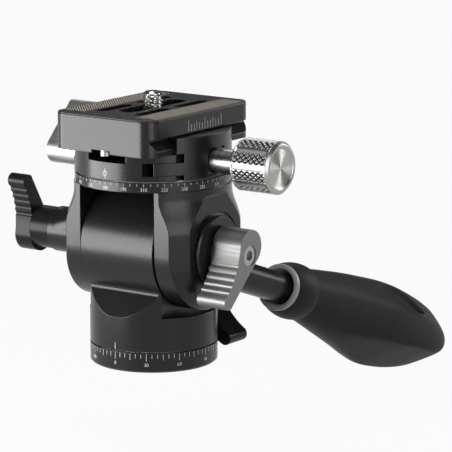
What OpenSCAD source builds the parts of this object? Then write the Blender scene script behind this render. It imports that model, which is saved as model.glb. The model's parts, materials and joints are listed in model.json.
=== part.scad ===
// Small fluid video head: panning base, tilting yoke round a drag barrel,
// side levers, pan handle, and a panning dovetail clamp with its camera plate.
// Origin: centre of the base's underside, on the pan axis. +X runs along the
// tilt axis to the knob side, +Y towards the handle, +Z up. Millimetres.

/* [Base and pan bearing] */
// Diameter of the base and of the pan housing
base_d = 40.4; // [38:0.2:50]
// Height of the base disc
base_h = 6.2; // [5:0.1:10]
// Chamfer on the base's lower edge
base_chamfer = 0.6; // [0.2:0.1:1.2]
// Major diameter of the tripod thread
thread_d = 9.525; // [6.35:0.005:9.525]
// Diameter of the steel thread insert
insert_d = 13; // [12:0.5:14]
// Diameter of the pan spindle
spindle_d = 22; // [21:0.5:24]
// Diameter of the spindle's retaining flange
flange_d = 28; // [26:0.5:30]
// Thickness of the spindle's retaining flange
flange_t = 5.4; // [3:0.1:7]
// Height of the spindle's neck under its flange
neck_h = 2.5; // [2:0.1:5]
// Thickness of the slip washer in the pan groove
washer_t = 0.4; // [0.3:0.1:1]
// Diameter of the screws that hold the spindle
spindle_screw_d = 3; // [2:0.5:3]

/* [Housing and drag barrel] */
// Height of the housing's ledge
ledge_h = 17.2; // [16.6:0.1:20]
// Gap between the housing's ledge and the cheeks
ledge_gap = 1.5; // [1:0.1:8]
// Diameter of the drag barrel
barrel_d = 38.8; // [36:0.2:39.6]
// Width of the drag barrel
barrel_w = 27.8; // [24:0.2:30]
// Height of the saddle's front edge under the ledge
saddle_drop = 0.3; // [0.1:0.1:1]
// Slope of the saddle's front, from the horizontal
saddle_slope = 57; // [50:1:64]
// Radius of the hollow between saddle and barrel
hollow_r = 1.7; // [1:0.1:2.4]
// Bore of the barrel
barrel_bore = 20; // [18:0.5:24]
// Length of each tilt bush
bush_l = 6; // [4:0.5:8]

/* [Yoke] */
// Gap on each side of the barrel
cheek_gap = 0.5; // [0.4:0.05:1]
// Thickness of the cheeks
cheek_t = 9.6; // [8:0.1:12]
// Distance of the yoke's front and back faces from the tilt axis
yoke_depth = 18.9; // [17:0.1:19.4]
// Diameter of the neck under the scale ring
neck_d = 49.7; // [49:0.1:52]
// Largest diameter of the flared cheeks
flare_d = 55; // [53:0.2:58]
// Height of the flare's upper end above the tilt axis
flare_top = 17.9; // [16:0.1:19]
// Height of the flare's lower end above the tilt axis
flare_low = 6.9; // [4:0.1:9]
// Distance from the tilt axis down to where the cheeks round in
foot_drop = 2.3; // [1:0.1:6]
// Radius of the cheeks' round towards their lower end
foot_r = 26; // [22:0.5:27]
// Diameter of the scale ring
ring_d = 49.2; // [44:0.1:54]
// Height of the scale ring
ring_h = 3; // [2.4:0.1:5]
// Gap between the barrel and the scale ring's underside
crown_gap = 0.8; // [0.4:0.1:2]
// Distance from the ring down to the top of the cheeks' flats
flat_drop = 1.4; // [0.6:0.1:4]
// Radius of the hollow at the top of the flats
flat_r = 1.8; // [1.2:0.1:4]
// Diameter of the tilt shaft
tilt_shaft_d = 12; // [10:0.5:13]
// Diameter of the raised cap on the right cheek
cap_d = 22.6; // [18:0.2:23]
// Height of the raised cap
cap_h = 1.6; // [1:0.1:2.2]
// Width of the groove round the cap
cap_groove_w = 1; // [0.5:0.1:1.2]

/* [Side levers] */
// Diameter of the lever studs on the tilt axis
stud_d = 6; // [5:0.5:8]
// Gap between the right cheek's cap and the tilt lever's arm
tilt_lever_gap = 1; // [0.6:0.1:4]
// Width of the tilt lever
tilt_lever_w = 10.6; // [9:0.1:12]
// Direction of the tilt lever's tail, from +Y towards +Z
tilt_lever_a = 229; // [180:1:270]
// Length of the boss on the left cheek
boss_l = 13.3; // [9:0.1:16]
// Diameter of the boss on the left cheek
boss_d = 14.6; // [12:0.2:16]
// Rise of the boss's root above its round
boss_rise = 3.6; // [1:0.1:5]
// Distance from the boss's end to the drag lever's arm
drag_hub_l = 7.7; // [3:0.1:10]
// Width of the drag lever's arm
drag_lever_w = 6.6; // [6:0.1:8]
// Direction of the drag lever's tail, from +Y towards +Z
drag_lever_a = 114; // [100:1:140]
// Radius of a side lever's hub
hub_r = 5.6; // [5:0.1:7]
// Offset of the hub's round from its screw, away from the tail
hub_shift = 2.2; // [0:0.1:3]
// Offset of the hub's round from its screw, towards the finger face
hub_side = 1.3; // [0:0.1:2]
// Distance from the screw to the tail's round
tail_reach = 17; // [14:0.5:18]
// Radius of the tail's round
tail_r = 2.3; // [1.8:0.1:3]
// Radius of the hollow finger face
waist_r = 24; // [14:0.5:40]
// Number of ribs on a finger face
rib_count = 5; // [3:1:5]
// Distance between ribs
rib_pitch = 2.3; // [1.4:0.1:3]
// Radius of the grooves between ribs
rib_r = 1.1; // [0.4:0.05:1.4]
// Depth of the grooves between ribs
rib_depth = 0.35; // [0.1:0.05:0.6]
// Diameter of the lever screw heads
screw_head_d = 6.4; // [5:0.2:7]
// Depth of the recess round a lever screw
screw_recess = 2; // [1.8:0.1:4]

/* [Pan lock] */
// Diameter of the pan lock stud
pan_stud_d = 5; // [4:0.2:5.6]
// Gap between the housing and the pan lever's arm
pan_lever_gap = 2.1; // [1:0.1:5]
// Width of the pan lever
pan_lever_w = 9.3; // [8:0.1:12]
// Direction of the pan lever's tail, from +X towards +Z
pan_lever_a = -34; // [-60:1:-20]
// Distance from the pan lever's screw to its tail's round
pan_reach = 14; // [12:0.5:18]

/* [Pan handle] */
// Slope of the handle below the horizontal
handle_slope = 19.5; // [10:0.5:21]
// Distance of the handle's axis under the tilt axis
handle_drop = 4.7; // [4.2:0.1:5]
// Diameter of the handle rod
rod_d = 10; // [8:0.2:12]
// Gap between the handle rod and the drag barrel
rod_gap = 0.3; // [0.3:0.1:2]
// Depth of the rod's seat in the cheek's back
rod_seat = 1.5; // [0.8:0.1:4]
// Length of the rod inside the grip
rod_hold = 46; // [20:1:60]
// Place of the grip's front lip along the handle
grip_start = 45.4; // [40:0.2:60]
// Diameter of the grip's lip ring
lip_d = 15.4; // [13.6:0.2:16]
// Diameter of the grip's collar
collar_d = 19.4; // [18:0.2:22]
// Length of the collar
collar_l = 10.6; // [8:0.2:14]
// Length of the grip behind its collar
grip_l = 94; // [80:1:130]
// Turn of the grip about its rod, from straight up towards +X
grip_turn = 45; // [0:1:60]

/* [Panning clamp] */
// Amount by which the clamp is wider than the scale ring
clamp_step = 0.2; // [0:0.05:2]
// Gap between the scale ring and the clamp
clamp_gap = 0.45; // [0.3:0.05:1]
// Height of the clamp's bed
bed_h = 8.25; // [8:0.05:10]
// Diameter of the clamp's spindle
clamp_spindle_d = 12; // [10:0.5:13]
// Thickness of the lower wall under the jaw's tongue
lower_wall = 1.75; // [1.2:0.05:2]
// Height of the jaw's tongue
tongue_h = 4; // [3:0.1:4.4]
// Length of the jaw's tongue
tongue_l = 6.4; // [5:0.1:8]
// Thickness of the jaw's block
jaw_t = 3.4; // [2:0.1:4]
// Gap between the bed and the jaw's block
jaw_gap = 1.5; // [0.5:0.1:3]
// Half length of the jaws' lips
lip_y = 14.5; // [12:0.1:16]
// Half width of the channel for the stop screws
channel_w = 7.2; // [5:0.1:8]
// Depth of the channel for the stop screws
channel_h = 2.7; // [2.3:0.1:3.4]
// Travel of the jaw
jaw_travel = 3; // [2:0.1:4]

/* [Clamp knob and lock] */
// Height of the knob's axis above the bed's underside
knob_rise = 5; // [4.6:0.1:5.2]
// Diameter of the knob's sleeve
sleeve_d = 8; // [7:0.1:9]
// Diameter of the clamp screw
clamp_screw_d = 6; // [5:0.5:6]
// Length of the sleeve between the clamp and the knob
sleeve_l = 9.8; // [7:0.1:16]
// Length of the knob
knob_l = 14.4; // [10:0.1:20]
// Diameter of the knob
knob_d = 16.4; // [14:0.1:16.6]
// Number of smooth flutes round the knob
flute_count = 9; // [4:1:12]
// Turn of the first flute, from straight down
flute_turn = 25.6; // [0:0.1:90]
// Depth of a flute
flute_depth = 0.3; // [0.1:0.05:0.8]
// Radius of a flute
flute_r = 2.4; // [1.5:0.1:3]
// Chamfer on the knob's rims
knob_chamfer = 0.9; // [0.4:0.1:1.5]
// Height of the clamp lever's axis above the bed's underside
lock_rise = 2.45; // [2.3:0.05:3]
// Diameter of the clamp lock stud
lock_stud_d = 4; // [3:0.1:4]
// Gap between the clamp and its lever's arm
lock_lever_gap = 2.3; // [1:0.1:5]
// Width of the clamp lever
lock_lever_w = 12.3; // [10:0.1:14]
// Radius of the clamp lever's hub
lock_hub_r = 4.5; // [4:0.1:4.8]
// Distance from the clamp lever's axis to its tail's round
lock_reach = 15.6; // [12:0.1:17]
// Radius of the clamp lever's tail
lock_tail_r = 2; // [1.5:0.1:2.6]
// Direction of the clamp lever's tail, from +Y towards +Z
lock_lever_a = 55; // [40:1:70]

/* [Camera plate] */
// Width of the plate
plate_w = 38; // [37:0.1:39]
// Length of the plate
plate_l = 53.6; // [50:0.2:70]
// Height of the plate
plate_h = 11.45; // [11:0.05:14]
// Radius of the plate's corners
plate_corner = 4.6; // [3:0.1:6]
// Chamfer on the plate's upper edge
plate_chamfer = 0.4; // [0.2:0.1:0.8]
// Height of the dovetail's straight foot
foot_h = 1.75; // [1.4:0.05:2]
// Depth of the dovetail's undercut
undercut = 2.8; // [2.2:0.1:3]
// Height of the dovetail's straight neck
dovetail_neck = 1; // [0.8:0.1:1.2]
// Length of the uncut block at the plate's front
end_block = 4.8; // [4:0.1:7]
// Radius of the undercut's run-out at its foot
runout_r = 2; // [1:0.1:3]
// Half length of the camera screw's slot
slot_y = 15; // [12:0.1:16]
// Diameter of the camera screw
camera_screw_d = 6.35; // [6.35:0.005:9.525]
// Height of the camera screw's thread above the pads
camera_thread_h = 3.8; // [3:0.1:6]
// Width of the side recesses
recess_w = 4.3; // [3:0.1:4.4]
// Wall between a side recess and its pad
recess_rim = 0.65; // [0.4:0.05:2]
// Depth of the side recesses
recess_depth = 3.4; // [1:0.1:4]
// Nearest end of a side recess
recess_y0 = 2.3; // [1:0.1:4]
// Farthest end of a side recess
recess_y1 = 18; // [14:0.1:20]
// Width of a rubber pad
pad_w = 8; // [6:0.1:8.2]
// Distance of the pads' ends from the plate's ends
pad_end = 4.2; // [4:0.1:10]
// Depth of a pad in the plate
pad_sink = 0.6; // [0.4:0.1:1]
// Height of a pad above the plate
pad_proud = 0.25; // [0.1:0.05:0.6]
// Distance of the stop screws from the plate's ends
stop_inset = 2.5; // [2:0.1:6]
// Diameter of the stop screws' heads
stop_d = 3.2; // [2.4:0.1:4]

/* [Fits] */
// Radial clearance of a turning fit
run_gap = 0.05; // [0.02:0.01:0.08]
// Radial clearance of a fixed seat
seat_gap = 0.02; // [0.01:0.01:0.04]
// Clearance between faces that turn on each other
face_gap = 0.05; // [0.03:0.01:0.1]
// Clearance of the plate in its clamp
slide_gap = 0.15; // [0.1:0.01:0.3]

/* [Hidden] */
$fn = 96;

body_black = [0.09, 0.09, 0.1];
rubber_black = [0.06, 0.06, 0.06];
steel = [0.72, 0.72, 0.72];
brass = [0.75, 0.6, 0.3];
slip_white = [0.85, 0.84, 0.8];
pad_taupe = [0.6, 0.56, 0.51];
lip_grey = [0.25, 0.25, 0.25];

// Overrun of cuts, and a length past every part
cut = 1;
far = 120;
// Inset that makes two joined outlines cross
blend = 0.06;

// Gap between parts that never touch, and the gap behind a turning lever
free_gap = 0.3;
lever_clear = 0.4;

// Screws
head_h = 1.7;
head_sink = 0.3;
head_over = 1.2;
head_room = 0.1;
drive_depth = 1.4;
drive_share = 0.52;
screw_grip = 2;

base_r = base_d / 2;
housing_z = base_h + washer_t + face_gap;
flange_z = base_h + neck_h;
flange_top = flange_z + flange_t;
retainer_rim = 2.5;
retainer_d = flange_d + 2 * retainer_rim;
retainer_top = flange_z - face_gap;
drag_disc_t = 0.55;
cavity_top = flange_top + drag_disc_t + face_gap;
thread_room = 0.4;
washer_inset = 1.5;
spindle_screw_r = (insert_d + spindle_d) / 4;
pan_lock_wall = 0.25;
pan_lock_z = retainer_top + pan_lock_wall + pan_stud_d / 2;
pad_y0 = flange_d / 2 + 2 * face_gap;
pad_t = 1;
pan_lever_y = base_r + pan_lever_gap;
pan_lever_end = pan_lever_y + pan_lever_w;
lever_collar_step = 1.4;
lever_collar_d = 2 * hub_r - lever_collar_step;

barrel_r = barrel_d / 2;
tilt_h = ledge_h + ledge_gap + yoke_depth;
cheek_in = barrel_w / 2 + cheek_gap;
cheek_out = cheek_in + cheek_t;
ring_z = tilt_h + barrel_r + crown_gap;
yoke_top = ring_z + ring_h;
flare_steps = 20;
cap_groove_h = 0.5;
cap_edge = 0.5;
stud_depth = 6.5;
stud_room = 1;
thrust_t = cheek_gap - 2 * face_gap;
thrust_rim = 2;

tilt_lever_x = cheek_out + cap_h + tilt_lever_gap;
tilt_lever_end = tilt_lever_x + tilt_lever_w;
boss_x = cheek_out + boss_l;
boss_inset = 0.1;
boss_slice = 0.5;
boss_root = 2;
drag_hub_x = boss_x + 4 * face_gap;
drag_hub_step = 1;
drag_arm_x = boss_x + drag_hub_l;
drag_lever_x = drag_arm_x + drag_lever_w;
drag_stud_end = drag_arm_x + drag_lever_w / 4;
rib_phase = 0.6;

rod_r = rod_d / 2;
rod_edge = 0.6;
rod_start = yoke_depth - rod_seat;
handle_x = barrel_w / 2 + rod_gap + rod_r;
handle_stud_d = 6;
handle_stud_l = 7.8;
handle_stud_start = rod_start - handle_stud_l;
spot_face_d = rod_d + 2 * lever_clear;
lip_l = 1.4;
collar_start = grip_start + lip_l;
bulge_r = 16;
bulge_share = 0.68;
grip_z = collar_start + collar_l;
rod_end = grip_z + rod_hold;

bed_z = yoke_top + clamp_gap;
bed_top = bed_z + bed_h;
clamp_d = ring_d + clamp_step;
clamp_r = clamp_d / 2;
tongue_z0 = bed_z + lower_wall;
tongue_z1 = tongue_z0 + tongue_h;
jaw_x = clamp_r - jaw_t;
wall_x = jaw_x - jaw_gap;
tongue_x = jaw_x - tongue_l;
pocket_x = tongue_x - jaw_travel;
knob_x = clamp_r + sleeve_l;
knob_z = bed_z + knob_rise;
sleeve_sink = 0.7;
sleeve_gap = 0.2;
knob_sink = 0.5;
knob_rim = 0.9;
lock_z = bed_z + lock_rise;
lock_lever_x = clamp_r + lock_lever_gap;
lock_lever_end = lock_lever_x + lock_lever_w;
lock_collar_step = 2.4;
lock_collar_d = 2 * lock_hub_r - lock_collar_step;
keeper_wall = 0.5;
spindle_floor = 0.8;
clamp_spindle_z = ring_z + spindle_floor;
clamp_spindle_top = lock_z + lock_stud_d / 2 + keeper_wall;
keeper_rim = 2.6;
keeper_d = clamp_spindle_d + 2 * keeper_rim;
keeper_t = 1.8;
keeper_drive = 4;
keeper_bore = keeper_d + 2 * lever_clear;
channel_wall = 1;
screw_boss_wall = 2.4;
screw_boss_l = 2.6;
screw_boss_y = clamp_screw_d / 2 + screw_boss_wall;
screw_boss_x = tongue_x + screw_boss_l;
screw_end = keeper_bore / 2 + 2 * free_gap;
pin_y = 11;
pin_d = 3;
pin_z = (tongue_z0 + tongue_z1) / 2;
pin_seat = 5;
pin_lead = 1.6;
pin_root = pocket_x - pin_seat;
pin_end = tongue_x + jaw_travel + pin_lead;
spring_d = 3.9;

plate_z = bed_top + slide_gap;
plate_top = plate_z + plate_h;
half_w = plate_w / 2;
half_l = plate_l / 2;
neck_z = plate_z + foot_h + undercut;
flange_under = neck_z + dovetail_neck;
lip_gap = 0.6;
jaw_top = flange_under - lip_gap;
slot_gap = 0.2;
slot_w = camera_screw_d / 2 + slot_gap;
carrier_t = 0.8;
carrier_d = 13.4;
pocket_room = 0.8;
pocket_w = carrier_d / 2 + pocket_room;
pocket_y = slot_y - slot_w + pocket_w;
pocket_top = flange_under;
pad_rim = 0.5;
pad_x = half_w - plate_chamfer - pad_rim - pad_w / 2;
pad_y = half_l - pad_end;
recess_x = pad_x - pad_w / 2 - recess_rim - recess_w / 2;
stop_y = half_l - stop_inset;
stop_channel_w = 3.5;
stop_channel_h = 1;
stop_head_h = 1.9;
stop_shank = 3.6;
screw_head_t = 3;
screw_tip = 0.5;
screw_drive = 5;
screw_relief = 0.2;
screw_shank_d = camera_screw_d - 2 * screw_relief;

// Point at distance ra from a and rb from b, on the side given
function meet(a, ra, b, rb, side) =
  let (d = norm(b - a), u = (b - a) / d, x = (d ^ 2 + ra ^ 2 - rb ^ 2) / (2 * d))
  a + x * u + side * sqrt(ra ^ 2 - x ^ 2) * [-u[1], u[0]];
function unit(v) = v / norm(v);
function turn(v, a) = [v[0] * cos(a) - v[1] * sin(a), v[0] * sin(a) + v[1] * cos(a)];

// Outline in Y and Z, drawn out along X
module along_x(x0, x1) {
  translate([x0, 0, 0]) rotate([90, 0, 90]) linear_extrude(height = x1 - x0) children();
}

// Outline in X and Z, drawn out along Y
module along_y(y0, y1) {
  translate([0, y1, 0]) rotate([90, 0, 0]) linear_extrude(height = y1 - y0) children();
}

module round_x(d, x0, x1) {
  translate([x0, 0, 0]) rotate([0, 90, 0]) cylinder(d = d, h = x1 - x0);
}

module round_y(d, y0, y1) {
  translate([0, y0, 0]) rotate([-90, 0, 0]) cylinder(d = d, h = y1 - y0);
}

module ring(d_in, d_out, h) {
  difference() {
    cylinder(d = d_out, h = h);
    translate([0, 0, -cut]) cylinder(d = d_in, h = h + 2 * cut);
  }
}

module ring_x(d_in, d_out, x0, x1) {
  translate([x0, 0, 0]) rotate([0, 90, 0]) ring(d_in, d_out, x1 - x0);
}

// The tilt axis as X axis
module at_tilt() {
  translate([0, 0, tilt_h]) children();
}

// The handle's axis as Z axis, with the tilt axis across its origin
module along_handle() {
  at_tilt() rotate([-90 - handle_slope, 0, 0]) translate([handle_x, handle_drop, 0]) children();
}

// Cap screw with a hexagon socket, its head ending at the origin and its shank along -Z
module socket_screw(shank_d, shank_l) {
  difference() {
    union() {
      translate([0, 0, -head_h]) cylinder(d = screw_head_d - 2 * run_gap, h = head_h);
      translate([0, 0, -head_h - shank_l]) cylinder(d = shank_d, h = shank_l);
    }
    translate([0, 0, -drive_depth]) cylinder(d = screw_head_d * drive_share, h = drive_depth + cut, $fn = 6);
  }
}

// Centre of a lever's hollow finger face, which touches the hub's round and the tail's
function waist_centre(reach) =
  meet([-hub_shift, hub_side], hub_r + waist_r - blend, [reach, 0], tail_r + waist_r - blend, 1);

// Lever outline: round hub, narrow tail along +X and a hollow finger face on the +Y side
module lever_outline(reach) {
  hub = [-hub_shift, hub_side];
  tail = [reach, 0];
  w = waist_centre(reach);
  difference() {
    union() {
      translate(hub) circle(r = hub_r);
      translate(tail) circle(r = tail_r);
      lever_web(hub, hub_r - blend, tail, tail_r - blend, w);
    }
    translate(w) circle(r = waist_r);
  }
}

// Web between a lever's two rounds, straight along its back and open towards a point in front
module lever_web(c0, r0, c1, r1, front) {
  along = unit(c1 - c0);
  back = turn(along, asin((r0 - r1) / norm(c1 - c0)) - 90);
  polygon([c0, c0 + r0 * back, c1 + r1 * back, c1, c1 + r1 * unit(front - c1), c0 + r0 * unit(front - c0)]);
}

// Lever outline with finger grooves, stepped along the hollow face from the tail inwards
module ribbed_lever_outline() {
  w = waist_centre(tail_reach);
  out = unit([tail_reach, 0] - w);
  step = rib_pitch / waist_r * 180 / PI;
  difference() {
    lever_outline(tail_reach);
    for (i = [0 : rib_count - 1]) {
      groove = w + (waist_r - rib_r + rib_depth) * turn(out, -(i + rib_phase) * step);
      translate(groove) circle(r = rib_r, $fn = 48);
    }
  }
}

// Base

module base_disc() {
  head_d = spindle_screw_d + head_over;
  color(body_black) difference() {
    rotate_extrude() polygon([
      [0, 0], [base_r - base_chamfer, 0], [base_r, base_chamfer], [base_r, base_h], [0, base_h]]);
    translate([0, 0, -cut]) cylinder(d = insert_d + 2 * seat_gap, h = base_h + 2 * cut);
    spindle_screw_places() {
      translate([0, 0, -cut]) cylinder(d = spindle_screw_d + 2 * seat_gap, h = base_h + 2 * cut);
      translate([0, 0, -cut]) cylinder(d = head_d + head_room, h = cut + head_h + head_sink);
    }
  }
}

module spindle_screw_places() {
  for (a = [90, 210, 330]) {
    rotate([0, 0, a]) translate([spindle_screw_r, 0, 0]) children();
  }
}

module tripod_insert() {
  color(steel) ring(thread_d, insert_d, base_h);
}

module pan_spindle() {
  color(steel) difference() {
    union() {
      translate([0, 0, base_h]) cylinder(d = spindle_d, h = neck_h);
      translate([0, 0, flange_z]) cylinder(d = flange_d, h = flange_t);
    }
    translate([0, 0, base_h - cut]) cylinder(d = thread_d + 2 * thread_room, h = cut + neck_h);
    spindle_screw_places() translate([0, 0, base_h - cut]) {
      cylinder(d = spindle_screw_d + 2 * seat_gap, h = cut + neck_h + flange_t / 2);
    }
  }
}

module spindle_screws() {
  head_d = spindle_screw_d + head_over;
  color(steel) spindle_screw_places() difference() {
    union() {
      translate([0, 0, head_sink]) cylinder(d = head_d, h = head_h);
      translate([0, 0, head_sink + head_h]) cylinder(d = spindle_screw_d, h = base_h + neck_h - head_h);
    }
    translate([0, 0, head_sink - cut]) cylinder(d = head_d * drive_share, h = cut + drive_depth / 2, $fn = 6);
  }
}

module pan_washer() {
  color(slip_white) translate([0, 0, base_h]) {
    ring(spindle_d + 2 * free_gap, base_d - 2 * washer_inset, washer_t);
  }
}

// Pan housing with the drag barrel

// Barrel circle on a sloped saddle, with a round hollow where they meet
module saddle_profile() {
  foot = [-base_r, ledge_h - saddle_drop];
  slope = [cos(saddle_slope), sin(saddle_slope)];
  out = [-slope[1], slope[0]];
  axis = [0, tilt_h];
  q = foot + hollow_r * out - axis;
  along = -q * slope - sqrt((q * slope) ^ 2 - q * q + (barrel_r + hollow_r) ^ 2);
  centre = foot + hollow_r * out + along * slope;
  on_slope = foot + along * slope;
  on_barrel = axis + barrel_r * unit(centre - axis);
  for (side = [0, 1]) mirror([side, 0]) difference() {
    polygon([[0, housing_z], [-base_r, housing_z], foot, on_slope, centre, on_barrel, axis]);
    translate(centre) circle(r = hollow_r);
  }
}

module pan_housing() {
  color(body_black) difference() {
    union() {
      translate([0, 0, housing_z]) cylinder(r = base_r, h = ledge_h - housing_z);
      intersection() {
        along_x(-barrel_w / 2, barrel_w / 2) saddle_profile();
        translate([0, 0, housing_z]) cylinder(r = base_r, h = tilt_h);
      }
      at_tilt() round_x(barrel_d, -barrel_w / 2, barrel_w / 2);
    }
    translate([0, 0, housing_z - cut]) {
      cylinder(d = retainer_d + 2 * seat_gap, h = retainer_top - housing_z + cut);
      cylinder(d = flange_d + 2 * free_gap, h = cavity_top - housing_z + cut);
    }
    translate([0, 0, pan_lock_z]) round_y(pan_stud_d + 2 * run_gap, 0, base_r + cut);
    at_tilt() round_x(barrel_bore, -barrel_w, barrel_w);
  }
}

module pan_retainer() {
  color(steel) translate([0, 0, housing_z]) {
    ring(spindle_d + 2 * run_gap, retainer_d, retainer_top - housing_z);
  }
}

module pan_drag_disc() {
  color(slip_white) translate([0, 0, cavity_top - drag_disc_t]) {
    ring(thread_d, flange_d - 2 * free_gap, drag_disc_t);
  }
}

module pan_lock_pad() {
  color(brass) translate([0, 0, pan_lock_z]) round_y(pan_stud_d, pad_y0, pad_y0 + pad_t);
}

module tilt_bush(side) {
  x0 = barrel_w / 2 - bush_l;
  at_tilt() mirror([side, 0, 0]) {
    ring_x(tilt_shaft_d + 2 * run_gap, barrel_bore - 2 * seat_gap, x0, x0 + bush_l);
  }
}

module bush_left() {
  color(brass) tilt_bush(1);
}

module bush_right() {
  color(brass) tilt_bush(0);
}

// Pan lock

module at_pan_lock() {
  translate([0, 0, pan_lock_z]) children();
}

module pan_stud() {
  color(steel) at_pan_lock() difference() {
    round_y(pan_stud_d, pad_y0 + pad_t + face_gap, pan_lever_y + pan_lever_w / 2);
    round_y(pan_stud_d / 2 + 2 * seat_gap, pan_lever_y, pan_lever_end);
  }
}

module pan_lever() {
  color(body_black) at_pan_lock() difference() {
    union() {
      along_y(pan_lever_y, pan_lever_end) rotate(pan_lever_a) lever_outline(pan_reach);
      round_y(lever_collar_d, base_r + lever_clear, pan_lever_y);
    }
    round_y(pan_stud_d + 2 * seat_gap, base_r, pan_lever_y + pan_lever_w / 2);
    round_y(pan_stud_d / 2 + 2 * seat_gap, pan_lever_y, pan_lever_end);
    round_y(screw_head_d, pan_lever_end - screw_recess, pan_lever_end + cut);
  }
}

module pan_lever_screw() {
  shank = pan_lever_w / 2 - screw_recess + screw_grip;
  color(steel) at_pan_lock() translate([0, pan_lever_end - screw_recess + head_h, 0]) {
    rotate([-90, 0, 0]) socket_screw(pan_stud_d / 2, shank);
  }
}

// Yoke

// Half section of the turned yoke: scale ring, neck, cosine flare, and cheeks that round in below
module yoke_section() {
  low = tilt_h + flare_low;
  top = tilt_h + flare_top;
  bottom = tilt_h - yoke_depth - cut;
  flare = [for (i = [0 : flare_steps]) let (share = i / flare_steps)
    [neck_d / 2 + (flare_d - neck_d) / 4 * (1 - cos(180 * share)), top + share * (low - top)]];
  ring = [[0, bottom], [0, yoke_top], [ring_d / 2, yoke_top], [ring_d / 2, ring_z], [neck_d / 2, ring_z]];
  intersection() {
    polygon(concat(ring, flare, [[flare_d / 2, bottom]]));
    union() {
      square_to(0, flare_d, tilt_h - foot_drop, yoke_top + cut);
      translate([flare_d / 2 - foot_r + blend, tilt_h - foot_drop]) circle(r = foot_r);
    }
  }
}

module square_to(x0, x1, y0, y1) {
  translate([x0, y0]) square([x1 - x0, y1 - y0]);
}

// Side view that the turned yoke is milled to
module yoke_side() {
  square_to(-far, far, ring_z, yoke_top);
  square_to(-yoke_depth, yoke_depth, tilt_h, ring_z);
  translate([0, tilt_h]) circle(r = yoke_depth);
}

// Flat on a cheek, ending in a round hollow under the scale ring
module flat_profile() {
  top = ring_z - flat_drop;
  square_to(cheek_out, far, 0, top - flat_r);
  square_to(cheek_out + flat_r, far, 0, top);
  translate([cheek_out + flat_r, top - flat_r]) circle(r = flat_r);
}

module yoke() {
  groove_d = cap_d + 2 * free_gap;
  color(body_black) difference() {
    intersection() {
      rotate_extrude() yoke_section();
      along_x(-flare_d, flare_d) yoke_side();
    }
    along_y(-far, far) square_to(-cheek_in, cheek_in, 0, ring_z);
    for (side = [0, 1]) mirror([side, 0, 0]) along_y(-far, far) flat_profile();
    at_tilt() round_x(tilt_shaft_d + 2 * seat_gap, -flare_d, flare_d);
    at_tilt() ring_x(groove_d, groove_d + 2 * cap_groove_w, cheek_out - cap_groove_h, flare_d);
    translate([0, 0, clamp_spindle_z]) cylinder(d = clamp_spindle_d + 2 * seat_gap, h = ring_h);
    along_handle() {
      translate([0, 0, rod_start]) cylinder(d = spot_face_d, h = far);
      translate([0, 0, handle_stud_start]) cylinder(d = handle_stud_d + 2 * seat_gap, h = rod_start);
    }
  }
}

module tilt_shaft() {
  end = cheek_out - face_gap;
  color(steel) at_tilt() difference() {
    round_x(tilt_shaft_d, -end, end);
    for (side = [0, 1]) mirror([side, 0, 0]) round_x(stud_d + 2 * run_gap, end - stud_depth - stud_room, far);
  }
}

module drag_drum() {
  half = barrel_w / 2 - bush_l - 2 * free_gap;
  color(steel) at_tilt() ring_x(tilt_shaft_d + 2 * seat_gap, barrel_bore - 4 * free_gap, -half, half);
}

module thrust_washer(side) {
  at_tilt() mirror([side, 0, 0]) {
    ring_x(tilt_shaft_d + 2 * seat_gap, barrel_bore + 2 * thrust_rim, cheek_in - thrust_t, cheek_in);
  }
}

module thrust_left() {
  color(slip_white) thrust_washer(1);
}

module thrust_right() {
  color(slip_white) thrust_washer(0);
}

module cheek_cap() {
  color(body_black) at_tilt() translate([cheek_out, 0, 0]) rotate([0, 90, 0]) rotate_extrude() {
    polygon([[stud_d / 2 + run_gap, 0], [cap_d / 2, 0], [cap_d / 2, cap_h - cap_edge],
             [cap_d / 2 - cap_edge, cap_h], [stud_d / 2 + run_gap, cap_h]]);
  }
}

// Boss on the left cheek, with its root drawn up along the cheek
module drag_boss() {
  root_d = boss_d - 2 * boss_inset;
  near = boss_root - boss_x;
  color(body_black) at_tilt() difference() {
    union() {
      round_x(boss_d, -boss_x, -cheek_out);
      hull() {
        round_x(root_d, near, near + boss_slice);
        translate([0, 0, boss_rise]) round_x(root_d, -cheek_out - boss_slice, -cheek_out);
      }
    }
    round_x(stud_d + 2 * run_gap, -boss_x - cut, cut - cheek_out);
  }
}

// Levers on the tilt axis

module tilt_stud() {
  color(steel) at_tilt() difference() {
    round_x(stud_d, cheek_out - stud_depth, tilt_lever_x + tilt_lever_w / 2);
    round_x(stud_d / 2 + 2 * seat_gap, tilt_lever_x, tilt_lever_end);
  }
}

module tilt_lever() {
  color(steel) at_tilt() difference() {
    union() {
      along_x(tilt_lever_x, tilt_lever_end) rotate(tilt_lever_a) mirror([0, 1]) ribbed_lever_outline();
      round_x(lever_collar_d, cheek_out + cap_h + 2 * face_gap, tilt_lever_x);
    }
    round_x(stud_d + 2 * seat_gap, cheek_out, tilt_lever_x + tilt_lever_w / 2);
    round_x(stud_d / 2 + 2 * seat_gap, tilt_lever_x, tilt_lever_end);
    round_x(screw_head_d, tilt_lever_end - screw_recess, tilt_lever_end + cut);
  }
}

module tilt_lever_screw() {
  shank = tilt_lever_w / 2 - screw_recess + screw_grip;
  color(steel) at_tilt() translate([tilt_lever_end - screw_recess + head_h, 0, 0]) {
    rotate([0, 90, 0]) socket_screw(stud_d / 2, shank);
  }
}

module drag_stud() {
  color(steel) at_tilt() difference() {
    round_x(stud_d, -drag_stud_end, stud_depth - cheek_out);
    round_x(stud_d / 2 + 2 * seat_gap, -drag_lever_x, -drag_hub_x);
  }
}

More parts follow.
